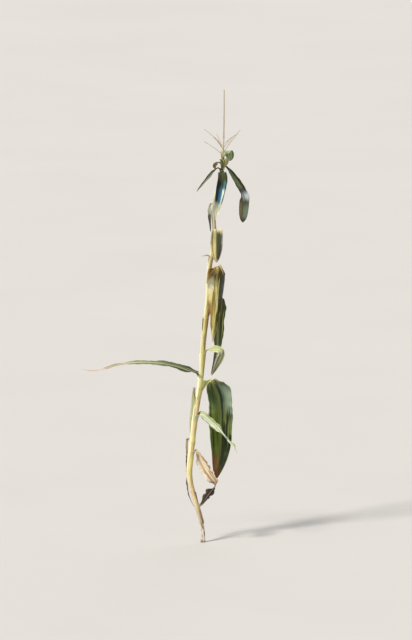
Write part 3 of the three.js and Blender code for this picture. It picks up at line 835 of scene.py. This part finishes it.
def ligule_points(span, across, along):
    """The thin frill that stands up inside the top of a sheath."""
    angle = radians(span.side) + across * LIGULE_WRAP
    frayed = 1 + 0.3 * np.sin(31 * across) + 0.2 * np.sin(53 * across + 1)
    height = span.top - 4 + along * (4 + 2.2 * frayed * (1 - across ** 4))
    radius = stem_radius(np.minimum(height, span.top)) - 0.5 + 0.5 * along
    return stalk_at(height) + radius[:, None] * heading(angle)


# The blades

def blade_thickness(each):
    return max(THINNEST_BLADE, each.length * THICKNESS_SHARE)


def blade_offset(each):
    """How far from the stalk's line the middle of a blade starts at its collar."""
    return float(stem_radius(each.collar)) + CLEARANCE + blade_thickness(each) / 2


def blade_width(each, share):
    """The width at a share of the length, drawn out to a fine point at the tip."""
    opening = lerp(each.foot, 1, smooth(share / 0.3))
    narrowing = np.maximum(0, 1 - np.maximum(share, 0) ** each.blunt) ** 0.8
    slimmest = lerp(SLIMMEST_BLADE, POINTED_TIP, smooth((share - 0.9) / 0.1))
    return np.maximum(slimmest, each.width * opening * narrowing)


def blade_frame(each, distance):
    """The way a blade runs at a distance from its collar, the way across it and its upper side."""
    distance = np.asarray(distance, float)
    rise = lerp(COLLAR_RISE, each.rise, smooth(distance / each.out))
    azimuth = each.side
    twist = each.twist * smooth(distance / each.length)
    for middle, down, over, sideways, turned in each.bends:
        done = smooth((distance - middle) / over + 0.5)
        rise = rise - down * done
        azimuth = azimuth + sideways * done
        twist = twist + turned * done
    rise, azimuth, twist = (np.radians(angle) for angle in (rise, azimuth, twist))
    along = heading(azimuth, rise)
    across = heading(azimuth + pi / 2)
    upper = heading(azimuth, rise + pi / 2)
    turn, hold = np.sin(twist)[..., None], np.cos(twist)[..., None]
    return along, across * hold + upper * turn, upper * hold - across * turn


def blade_path(each, distance):
    """The middle of a blade at a distance from its collar. Below the collar it runs straight on."""
    marks = np.arange(0, each.length + 2 * STRIDE, STRIDE)
    out = heading(radians(each.side))
    start = stalk_at(each.collar) + out * blade_offset(each)
    along = blade_frame(each, marks + STRIDE / 2)[0]
    points = start + np.concatenate([np.zeros((1, 3)), np.cumsum(along * STRIDE, axis=0)])
    marks = np.append(marks, marks[-1] + STRIDE)
    path = np.stack([np.interp(distance, marks, points[:, axis]) for axis in range(3)], axis=-1)
    below = np.minimum(distance, 0)[:, None] * blade_frame(each, 0)[0]
    snug = (blade_thickness(each) / 2 + 0.1) * (1 - smooth(distance / each.out))
    sunk = ROOT_SINK * smooth((3 - distance) / 5)
    return path + below - out * (snug + sunk)[:, None]


def fold_share(each, distance):
    """How near a distance is to one of the blade's sharp folds, from 0 to 1."""
    near = 0 * distance
    for middle, down, over, _, _ in each.bends:
        if abs(down) > SHARP_FOLD:
            near = np.maximum(near, hump((distance - middle) / (FOLD_REACH * over)))
    return near


def blade_span(each, seed, ragged, distance, across):
    """The width, which narrows inside the sheath and at a fold, and is torn along ragged margins."""
    share = distance / each.length
    width = blade_width(each, share) * (1 - ROOT_NARROWING * smooth(-distance / BLADE_ROOT))
    width = width * (1 - each.pinch * fold_share(each, distance))
    side = np.where(across < 0, 11, 12) + 20 * seed
    torn = sum(np.where(side == line, wander(line, distance, TEAR_SPACING), 0) for line in np.unique(side))
    return width * (1 - ragged * np.abs(across) * np.clip(torn + 0.1, 0, 1) * smooth(share / 0.15))


def blade_arc(each, distance, width):
    """How far the blade curves across its width, in radians: round the stem, then by its own arc."""
    wrapped = width / blade_offset(each)
    opened = np.radians(lerp(*each.arc, smooth(distance / each.length))) * (1 - fold_share(each, distance))
    arc = lerp(wrapped, opened, smooth(distance / each.out))
    return np.where(np.abs(arc) < FLATTEST_ARC, FLATTEST_ARC, arc)


def blade_waves(each, seed, distance, across, growing):
    """The long waves of the margins, and short ruffles at their edge."""
    waves = each.wave * growing * across ** 2 * np.sin(2 * pi * distance / WAVE_LENGTH + 1.3 * across)
    drift = 2.2 * wander(300 + seed, distance, 70)
    short = np.sin(2 * pi * distance / RUFFLE_LENGTH + drift + np.where(across < 0, 1.7, 0))
    return waves + RUFFLE_SHARE * each.wave * growing * np.abs(across) ** 3 * short


def blade_relief(each, seed, ragged, distance, across, span, growing):
    """The groove over the midrib, the pleats, the creases at a fold and the curl of ragged margins."""
    groove = RIB_GROOVE * hump(span / RIB_HALF_WIDTH) * (1 - 0.8 * np.clip(distance / each.length, 0, 1))
    pleats = PLEAT_DEPTH * np.cos(2 * pi * span / PLEAT_WIDTH) * growing
    creased = wander(500 + seed, distance + 17 * across, 6.5) * (0.3 + np.abs(across))
    curled = ragged * CURL * wander(700 + seed, distance, 15) * across
    return pleats - groove + CRUMPLE * fold_share(each, distance) * creased + curled


def blade_points(each, seed, ragged, across, along):
    """The blade's surface: an arc across the midrib's path, with its waves and its relief."""
    distance = lerp(-BLADE_ROOT, each.length, along)
    share = distance / each.length
    growing = smooth(share / 0.2) * smooth((1 - share) / 0.2)
    width = blade_span(each, seed, ragged, distance, across)
    arc = blade_arc(each, distance, width)
    radius = width / arc
    angle = across * arc / 2
    _, sideways, upper = blade_frame(each, distance)
    normal = upper * np.cos(angle)[:, None] - sideways * np.sin(angle)[:, None]
    arched = sideways * (radius * np.sin(angle))[:, None] + upper * (radius * (1 - np.cos(angle)))[:, None]
    waves = blade_waves(each, seed, distance, across, growing)
    lift = blade_relief(each, seed, ragged, distance, across, across * width / 2, growing)
    points = blade_path(each, distance) + arched + upper * waves[:, None] + normal * lift[:, None]
    cleared = clear_of_stem(points, BLADE_WALL / 2 + 0.05)
    return np.where((distance > 4)[:, None], cleared, points)


def blade_weights(each, across, along):
    """Thick at the midrib, which thins towards the tip, and thin at the margins."""
    thin = BLADE_WALL / RIB_WALL
    span = across * each.width / 2
    rib = hump(span / (1.3 * RIB_HALF_WIDTH)) * (1 - 0.85 * along)
    return lerp(thin, 1, rib)


def make_blade(each, seed, ragged):
    rows = round((each.length + BLADE_ROOT) / BLADE_STEP)
    carry = partial(blade_points, each, seed, ragged)
    return strip(BLADE_COLUMNS, rows, carry, RIB_WALL, partial(blade_weights, each))


# How each blade looks from collar to tip, where it is darker, streaked, spotted or withered, and where light
# and shade are painted on
BLADE_LOOKS = {
    # Leaf 1: the dark tones from 0.54 onwards and its last patch are painted shadow on the underside that
    # folds back
    1: dict(tones={0: (0.76, 0.64, 0.46), 0.06: (0.56, 0.39, 0.25), 0.34: (0.42, 0.26, 0.15),
        0.54: (0.1, 0.06, 0.048), 0.8: (0.06, 0.042, 0.046)}, side=(0, 0.55, {0: (0.86, 0.78, 0.62),
        0.5: (0.22, 0.14, 0.1)}), dark=((0.2, 0.1, 0.05), 0.5), pale=(CREAM, 0.3), vein=CREAM, rib=CREAM,
        rim=CREAM, spots=0.6, patches=[(0, -1, 0.6, 2, (0.052, 0.036, 0.036))]),
    2: dict(tones={0: TAN, 0.2: PURPLE_BROWN}, dark=(DARK_BROWN, 0.6), pale=(TAN, 0.4), vein=TAN,
        rib=TAN, rim=TAN, tip=BROWN),
    3: dict(tones={0: (0.5, 0.58, 0.33), 0.1: (0.6, 0.68, 0.45)},
        side=(1, 0.35, {0: (0.32, 0.38, 0.13), 0.3: (0.24, 0.33, 0.12)}), dark=((0.22, 0.3, 0.09), 0.35),
        pale=(WHITISH, 0.6), vein=WHITISH, rib=WHITISH, rim=CREAM, tip=STRAW),
    # Leaf 4: the bright first patch is painted light on its rise, and the near-black tone of its second side
    # is painted shade
    4: dict(tones={0: (0.64, 0.62, 0.2), 0.15: (0.09, 0.13, 0.035), 0.24: (0.08, 0.13, 0.045),
        0.45: (0.13, 0.19, 0.026), 0.8: (0.2, 0.11, 0.035)}, side=(-1, 0.1, {0: (0.6, 0.58, 0.2),
        0.15: (0.06, 0.11, 0.06), 0.22: (0.08, 0.13, 0.09), 0.42: (0.02, 0.03, 0.016)}),
        dark=((0.028, 0.045, 0.018), 0.5), pale=((0.19, 0.25, 0.07), 0.4), vein=OLIVE,
        rib=(0.22, 0.28, 0.12), rim=(0.2, 0.26, 0.11), tip=BROWN, spots=0.5,
        patches=[(0, -1, -1, 0.17, (0.95, 0.93, 0.38)), (-1, 0.36, 0.25, 0.44, (0.32, 0.41, 0.28)),
        (1, 0.2, 0.84, 2, (0.3, 0.13, 0.04))]),
    5: dict(tones={0: (0.05, 0.08, 0.042), 0.2: (0.15, 0.19, 0.1), 0.32: (0.36, 0.4, 0.24),
        0.6: (0.5, 0.4, 0.26)}, side=(1, 0.2, {0: (0.03, 0.048, 0.028), 0.22: (0.08, 0.1, 0.045),
        0.55: (0.3, 0.22, 0.13)}), dark=((0.045, 0.065, 0.03), 0.4), pale=((0.52, 0.56, 0.36), 0.3),
        rim=CREAM, tip=PINKISH, dry=0.8),
    # Leaf 6: the grey-green tone from 0.42 onwards is painted shade on the part that hangs back down
    6: dict(tones={0: (0.46, 0.44, 0.2), 0.08: (0.44, 0.48, 0.22), 0.42: (0.13, 0.15, 0.12)},
        dark=((0.38, 0.4, 0.16), 0.2), pale=(CREAM, 0.2), rib=CREAM, rim=CREAM),
    7: dict(tones={0: (0.5, 0.45, 0.14), 0.24: (0.2, 0.23, 0.07), 0.5: (0.14, 0.17, 0.11)},
        side=(-1, 0.1, {0: (0.42, 0.36, 0.1), 0.24: (0.05, 0.065, 0.02), 0.7: (0.09, 0.11, 0.07)}),
        dark=((0.045, 0.06, 0.02), 0.5), pale=((0.42, 0.42, 0.18), 0.35), rib=YELLOW_GREEN, vein=GREY_GREEN,
        rim=GREY_GREEN, tip=BROWN),
    # Leaf 8: its dark second side and the near-black and bluish dark patches are painted shade, the dark
    # band after the fold is painted shadow, and the grey-white patch is a painted highlight
    8: dict(tones={0: (0.5, 0.34, 0.09), 0.12: (0.36, 0.21, 0.05), 0.36: (0.72, 0.64, 0.24),
        0.58: (0.52, 0.48, 0.12), 0.8: (0.36, 0.38, 0.06)}, side=(1, 0.15, {0: (0.3, 0.17, 0.045),
        0.26: (0.08, 0.07, 0.012), 0.84: (0.22, 0.21, 0.04)}), dark=((0.2, 0.11, 0.03), 0.3),
        pale=((0.78, 0.72, 0.36), 0.4), vein=OLIVE, rib=(0.42, 0.38, 0.12), rim=RUST, spots=0.6,
        patches=[(0, -1, 0.31, 0.37, (0.07, 0.052, 0.016)), (-1, 0.35, 0.38, 0.5, (0.66, 0.64, 0.46)),
        (-1, 0.3, 0.62, 0.86, (0.3, 0.15, 0.045)), (1, 0.44, 0.36, 0.84, (0.034, 0.04, 0.006)),
        (1, 0.66, 0.3, 0.58, (0.05, 0.07, 0.09))]),
    9: dict(tones={0: STRAW, 0.5: CREAM}, dark=(TAN, 0.5), pale=(CREAM, 0.4), vein=CREAM, dry=0.85),
    # Leaf 10: the near-black patch is painted shade on its curled right half, and the pale grey patch at its
    # right margin is a painted highlight
    10: dict(tones={0: CREAM, 0.2: (0.72, 0.66, 0.28), 0.45: (0.64, 0.57, 0.22)}, dark=(BROWN, 0.2),
        pale=((0.7, 0.66, 0.36), 0.2), vein=AMBER, rib=OLIVE, rim=(0.56, 0.56, 0.5), spots=0.4,
        patches=[(1, -0.1, 0.24, 2, PAINTED_SHADE_BLACK), (1, 0.78, 0.22, 2, (0.56, 0.56, 0.54))]),
    11: dict(tones={0: (0.4, 0.43, 0.28), 0.4: (0.07, 0.068, 0.062)}, dark=(DARK_BROWN, 0.5),
        pale=(GREY_GREEN, 0.3), vein=GREY_GREEN, rib=GREY_GREEN, rim=PURPLE_BROWN, tip=PURPLE_BROWN),
    # Leaf 12: the near-black tones and patch are painted shade, the blue tones are painted sky reflection,
    # and the whitish tones, the pale patch and the whitish rim are painted highlight
    12: dict(tones={0: (0.076, 0.068, 0.016), 0.26: (0.02, 0.028, 0.01), 0.38: (0.044, 0.165, 0.29),
        0.68: (0.52, 0.59, 0.52), 0.88: (0.64, 0.64, 0.4)}, side=(1, 0.28, {0: (0.08, 0.1, 0.02),
        0.26: (0.12, 0.24, 0.26), 0.42: (0.74, 0.86, 0.78), 0.7: (0.78, 0.76, 0.46)}),
        dark=((0.012, 0.018, 0.014), 0.2), pale=((0.08, 0.14, 0.16), 0.1), rib=(0.1, 0.14, 0.12),
        vein=(0.06, 0.1, 0.11), rim=WHITISH, spots=0.1, tip=STRAW,
        patches=[(-1, 0.3, 0.36, 0.66, (0.012, 0.018, 0.016)), (0, -1, 0.7, 2, (0.62, 0.64, 0.46))]),
    13: dict(tones={0: (0.14, 0.15, 0.07), 0.25: (0.25, 0.25, 0.22)},
        side=(0, 0.36, {0: (0.06, 0.07, 0.02), 0.4: (0.075, 0.072, 0.026)}), dark=(DARK_OLIVE, 0.2),
        pale=(GREY_GREEN, 0.2), vein=GREY_GREEN, rib=(0.26, 0.26, 0.2), rim=DARK_OLIVE, tip=BROWN,
        patches=[(0, 0.58, -1, 2, (0.03, 0.036, 0.012))]),
    # Leaf 14: the bluish-white tones and patch at about half its length are painted sheen with a sky-blue
    # cast
    14: dict(tones={0: (0.2, 0.23, 0.09), 0.14: (0.23, 0.26, 0.12), 0.44: (0.055, 0.056, 0.066),
        0.53: (0.54, 0.6, 0.64), 0.6: (0.15, 0.17, 0.1)}, side=(0, 0.42, {0: (0.07, 0.085, 0.022),
        0.44: (0.04, 0.042, 0.05), 0.53: (0.3, 0.33, 0.34), 0.6: (0.07, 0.048, 0.03)}),
        dark=((0.04, 0.05, 0.018), 0.4), pale=((0.26, 0.3, 0.2), 0.2), vein=GREY_GREEN, rib=GREY_GREEN,
        rim=(0.06, 0.06, 0.024), tip=DARK_BROWN, patches=[(0, 0.62, -1, 0.52, (0.028, 0.036, 0.012)),
        (1, -0.3, 0.57, 0.64, (0.56, 0.61, 0.64)), (0, -1, 0.66, 0.76, (0.085, 0.078, 0.046)),
        (-1, 0.45, 0.64, 2, (0.2, 0.16, 0.09)), (1, 0.25, 0.74, 2, (0.12, 0.19, 0.14))]),
    15: dict(tones={0: (0.2, 0.17, 0.06), 0.4: (0.11, 0.09, 0.03)}, dark=((0.05, 0.035, 0.015), 0.5),
        pale=((0.32, 0.28, 0.12), 0.4), vein=OLIVE, rib=OLIVE, rim=RUST, spots=0.7, tip=BROWN),
    16: dict(tones={0: (0.16, 0.17, 0.05), 0.4: (0.1, 0.13, 0.04)}, dark=((0.045, 0.045, 0.015), 0.5),
        pale=((0.42, 0.34, 0.2), 0.4), vein=OLIVE, rib=OLIVE, rim=TAN, spots=0.7, tip=RUST),
    17: dict(tones={0: (0.52, 0.58, 0.24), 0.3: (0.46, 0.56, 0.26), 0.6: (0.36, 0.47, 0.24)},
        side=(0, 0.6, {0: (0.5, 0.56, 0.26), 0.4: (0.19, 0.29, 0.15)}), dark=((0.09, 0.14, 0.06), 0.3),
        pale=((0.52, 0.56, 0.36), 0.3), rib=PALE_GREEN, rim=YELLOW_GREEN),
}
RAGGED = {1: 0.35, 2: 0.3, 5: 0.08, 9: 0.2}  # how torn a leaf's margins are
WITHERED = (1, 2, 9)  # leaves that are dry throughout


# The ear

def ear_centre(share):
    azimuth = np.radians(lerp(*EAR_SIDES, share ** 2))
    height = EAR_FOOT + EAR_LENGTH * share
    reach = stem_radius(height) + EAR_RADIUS * EAR_NEAR
    return stalk_at(height) + reach[..., None] * heading(azimuth)


def ear_radius(share):
    swelling = np.sin(pi * np.minimum(1, 0.12 + 0.88 * np.clip(share, 0, 1) ** 0.8)) ** 0.75
    return lerp(EAR_TIP_RADIUS, EAR_RADIUS, np.nan_to_num(swelling))


# Each husk leaf: the azimuth of its back, where its tip lies along the ear, its layer and how far it opens
HUSKS = [(20, 1, 0, 0), (200, 1.02, 0, 0), (110, 1, 1, 0), (300, 0.99, 1, 0.4),
         (160, 0.95, 2, 0.8), (250, 0.9, 2, 1.4), (60, 0.84, 3, 2), (320, 0.72, 3, 3)]


def husk_points(back, tip, layer, opens, across, along):
    share = along * tip
    wrapped = lerp(1.75, 0.9, smooth(along / 0.8))
    width = np.minimum(wrapped * np.maximum(ear_radius(share), 4), 26 * (1 - along) ** 0.75 + 0.5)
    angle = radians(back) + across * width / np.maximum(ear_radius(share), 1.2)
    lifting = opens * smooth((along - 0.6) / 0.4) * 1.4
    ribs = HUSK_RIB * np.sin(pi * HUSK_RIBS * across)
    radius = ear_radius(share) - 1.5 + HUSK_LAYER * layer + 0.4 * np.abs(across) + ribs + lifting
    points = ear_centre(share) + radius[:, None] * heading(angle)
    return clear_of_stem(points, 0.3)


def make_ear():
    return joined([strip(*HUSK_GRID, partial(husk_points, *husk), HUSK_WALL) for husk in HUSKS])


def tube(points, radii, sides):
    """Rings of a thin tube along a path, as points and faces."""
    way = unit(np.gradient(points, axis=0))
    aside = unit(np.cross(way, [0.31, 0.17, 0.93]))
    above = np.cross(way, aside)
    rings = []
    for number in range(sides):
        angle = 2 * pi * number / sides
        rings.append(points + radii[:, None] * (aside * cos(angle) + above * sin(angle)))
    found = np.stack(rings, axis=1).reshape(-1, 3)
    faces = []
    for low in range(len(points) - 1):
        for number in range(sides):
            after = (number + 1) % sides
            faces.append([low * sides + number, low * sides + after,
                          (low + 1) * sides + after, (low + 1) * sides + number])
    faces.append(list(range(sides))[::-1])
    faces.append([(len(points) - 1) * sides + number for number in range(sides)])
    return found, faces


def piece_of_tubes(tubes):
    piece = built(tubes)
    edit(piece, (bpy.ops.mesh.normals_make_consistent, {"inside": False}))
    return piece


def make_silk():
    """Dried silk that hangs out of the ear's tip in curls."""
    random = np.random.default_rng(SILK_SEED)
    start = ear_centre(np.array(SILK_FROM))
    tubes = []
    for _ in range(SILK_STRANDS):
        azimuth = random.uniform(0, 2 * pi)
        length = random.uniform(*SILK_LENGTH)
        steps = np.linspace(0, 1, SILK_RINGS)
        rise = np.radians(lerp(86, random.uniform(-60, 50), smooth(steps)))
        turned = azimuth + random.uniform(-1.5, 1.5) * steps
        way = heading(turned, rise) * (length / (SILK_RINGS - 1))
        path = start + random.uniform(-1.2, 1.2, 3) * (1, 1, 4) + np.cumsum(way, axis=0)
        tubes.append(tube(clear_of_stem(path, 0.4), lerp(*SILK_RADII, steps), 3))
    return piece_of_tubes(tubes)


# The tassel

SPIKELET_TINTS = {
    "straw": (0.6, 0.48, 0.35),
    "tan": (0.48, 0.35, 0.26),
    "pink": (0.58, 0.4, 0.33),
    "pale": (0.72, 0.62, 0.49),
}


def make_spikelet():
    """One spikelet: a small ball drawn out to a point, flattened and bowed. Until it is dealt out, its mesh
    is in millimetres."""
    deselect()
    bpy.ops.mesh.primitive_uv_sphere_add(segments=6, ring_count=4, radius=0.5)
    piece = bpy.context.object
    points = points_of(piece)
    length = points[:, 2] + 0.5
    slim = 1.15 - 0.75 * length ** 2
    points[:, 0] *= SPIKELET_WIDTH * slim
    points[:, 1] *= SPIKELET_WIDTH * SPIKELET_FLATNESS * slim
    points[:, 2] = SPIKELET_LENGTH * length
    points[:, 1] += 0.5 * np.sin(pi * length)
    put_points(piece, points / MM)
    return piece


def spikelet_place(centre, way, out, lean, size):
    """The point, directions and size of a spikelet that leans out from its stem."""
    way = unit(way)
    out = unit(out - way * (out @ way))
    along = way * cos(lean) + out * sin(lean)
    facing = out * cos(lean) - way * sin(lean)
    across = np.cross(facing, along)
    return centre + out * 0.5, np.stack([across, facing, along]), size


def spike_spikelets(random):
    places = []
    height = STALK_TOP + 4
    turn = 0
    while height < PLANT_HEIGHT - SPIKELET_LENGTH:
        share = (height - STALK_TOP) / (PLANT_HEIGHT - STALK_TOP)
        lean = radians(lerp(24, 9, share))
        for number in range(WHORL):
            angle = turn + 2 * pi * number / WHORL + random.uniform(-0.25, 0.25)
            out = heading(angle)
            low = height + random.uniform(-1, 1)
            way = stalk_at(low + 5) - stalk_at(low - 5)
            size = random.uniform(0.8, 1.08) * lerp(1, 0.75, share)
            tilt = lean + random.uniform(-0.1, 0.1)
            places.append(spikelet_place(stalk_at(low) + out * 0.6, way, out, tilt, size))
        turn += WHORL_TURN
        height += WHORL_STEP
    return places


def branch_paths():
    """The middle of each side branch, by the source's rule with the same seeded numbers."""
    state = BRANCH_SEED
    draws = []
    for _ in range(3 * BRANCH_COUNT):
        state = (state * DRAW_FACTOR + DRAW_OFFSET) % DRAW_RANGE
        draws.append(state / DRAW_RANGE)
    paths = []
    for number in range(BRANCH_COUNT):
        turned, longer, steeper = draws[3 * number:3 * number + 3]
        height = lerp(BRANCHES_FROM, BRANCHES_TO, number / (BRANCH_COUNT - 1))
        azimuth = radians(number * BRANCH_TURN + FIRST_BRANCH_SIDE + BRANCH_UNEVEN * (turned - 0.5))
        length = lerp(*BRANCH_LENGTHS, longer)
        share = np.linspace(0, 1, BRANCH_RINGS)
        rise = np.radians(lerp(*BRANCH_RISES, steeper) - BRANCH_DROOP * share)
        way = heading(azimuth, rise)
        path = stalk_at(height) + np.cumsum(way, axis=0) * (length / BRANCH_RINGS)
        paths.append((path, way, azimuth))
    return paths


def make_tassel(random):
    """The stems of the tassel as thin tubes, and the places of all its spikelets."""
    heights = np.linspace(STALK_TOP - 3, PLANT_HEIGHT - 6, SPIKE_RINGS)
    spike = tube(stalk_at(heights), lerp(TOP_RADIUS * 0.9, 0.5, (heights - STALK_TOP + 3) / 240), 8)
    twigs = []
    places = []
    for path, way, azimuth in branch_paths():
        twigs.append(tube(path, lerp(*BRANCH_RADII, np.linspace(0, 1, len(path))), 6))
        sideways = heading(azimuth + pi / 2)
        for step in range(5, len(path) - 1):
            for hand in (-1, 1):
                out = sideways * hand + np.array([0, 0, random.uniform(-0.7, 0.5)])
                tilt = random.uniform(0.2, 0.42)
                size = random.uniform(0.72, 1) * lerp(1, 0.75, step / len(path))
                places.append(spikelet_place(path[step], way[step], out, tilt, size))
    return spike, twigs, places


# Stage

def make_camera():
    """A camera far in front of the plant, so that the foot and the tip show where they do in the photo."""
    tilt = radians(LOOKS_DOWN)
    upward = np.array([0, sin(tilt), cos(tilt)])
    forward = np.array([0, cos(tilt), -sin(tilt)])
    aim = np.array([IMAGE_WIDTH / 2 - FOOT_PIXEL[0], 0, 0]) * PIXEL
    aim = aim + upward * (FOOT_PIXEL[1] - IMAGE_HEIGHT / 2) * PIXEL
    bpy.ops.object.camera_add(location=tuple((aim - forward * CAMERA_DISTANCE) * MM),
                              rotation=(pi / 2 - tilt, 0, 0))
    camera = bpy.context.object
    camera.data.sensor_width = SENSOR
    camera.data.lens = SENSOR * CAMERA_DISTANCE / (IMAGE_HEIGHT * PIXEL)
    camera.data.clip_end = 200
    bpy.context.scene.camera = camera


def make_sun(name, azimuth, rise, strength, spread, colour):
    """Soft light from far away. It comes from an azimuth and a rise, and all three angles are in degrees."""
    turn = (radians(90 - rise), 0, radians(azimuth + 90))
    bpy.ops.object.light_add(type="SUN", rotation=turn)
    sun = bpy.context.object
    sun.name = name
    sun.data.energy = strength
    sun.data.angle = radians(spread)
    sun.data.color = colour


def make_stage():
    """A plain pale floor and soft light that favours the left."""
    deselect()
    bpy.ops.mesh.primitive_plane_add(size=FLOOR)
    floor = bpy.context.object
    floor.name = "floor"
    paint = Finish("floor paint")
    x, y, _ = paint.on_plant()
    cloud = paint.noise(x / 900, y / 900, 0)
    paint.colour = FLOOR_COLOUR
    paint.shade(0.97 + cloud * 0.06)
    floor.data.materials.append(paint.finish(0.9, cloud, 0.1))
    make_sun("key", -140, 44, 3.5, 12, (1, 0.97, 0.91))
    make_sun("fill", -30, 24, 0.35, 70, (0.93, 0.96, 1))
    make_sun("back", 75, 48, 0.8, 50, (1, 0.98, 0.94))
    world = bpy.data.worlds.new("sky")
    world.use_nodes = True
    sky = world.node_tree.nodes["Background"].inputs
    sky["Color"].default_value = (0.9, 0.93, 1, 1)
    sky["Strength"].default_value = 0.34
    bpy.context.scene.world = world
    bpy.context.scene.view_settings.view_transform = "Standard"


# The plant

def make_leaves():
    for seed, each in enumerate(LEAVES):
        name = each.name
        blade = make_blade(each, seed, RAGGED.get(each.number, 0))
        nodes = [name + "_rise", name + "_hang"] if each.cut else [name]
        slot = "withered_leaf" if each.number in WITHERED else "green_leaf"
        look = blade_finish(each, seed * 3.7, **BLADE_LOOKS[each.number])
        settle(blade, name + "_blade", slot, [look], *nodes)


def dress_tassel():
    """The stems and the spikelets of the middle spike and of the side branches."""
    tints = [plain_finish("spikelet " + name, colour) for name, colour in SPIKELET_TINTS.items()]
    random = np.random.default_rng(SPIKELET_SEED)
    spike, twigs, on_twigs = make_tassel(random)
    spikelet = make_spikelet()
    on_spike = spike_spikelets(random)
    stem = plain_finish("tassel stem", (0.58, 0.47, 0.27))
    branches = [f"tassel_branch_{number + 1}" for number in range(BRANCH_COUNT)]
    parts = [
        ("tassel_spike", "stem", [spike], on_spike, ["tassel_spike"]),
        ("tassel_branch", "stems", twigs, on_twigs, branches),
    ]
    for name, stems, tubes, places, nodes in parts:
        settle(piece_of_tubes(tubes), f"{name}_{stems}", "tassel", [stem], *nodes)
        tinted = random.integers(0, len(tints), len(places))
        settle(scattered(spikelet, places, tinted), name + "_spikelets", "tassel", tints)
    bpy.data.objects.remove(spikelet)


def make_plant():
    settle(make_stalk(), "stalk_skin", "stalk", [stalk_finish()], "stalk")
    wrap = sheath_finish()
    for number, span in enumerate(SPANS):
        name = f"sheath_{number:02d}"
        settle(make_sheath(span, number), name + "_skin", "sheath", [wrap], name)
    frills = [strip(*LIGULE_GRID, partial(ligule_points, span), LIGULE_WALL) for span in SPANS[1:]]
    settle(joined(frills), "ligules", "sheath", [plain_finish("ligule", STRAW)])
    make_leaves()
    settle(make_ear(), "ear_husk", "husk", [husk_finish()], "ear")
    settle(make_silk(), "ear_silk", "husk", [plain_finish("silk", (0.42, 0.26, 0.14))])
    dress_tassel()


make_camera()
make_stage()
make_plant()
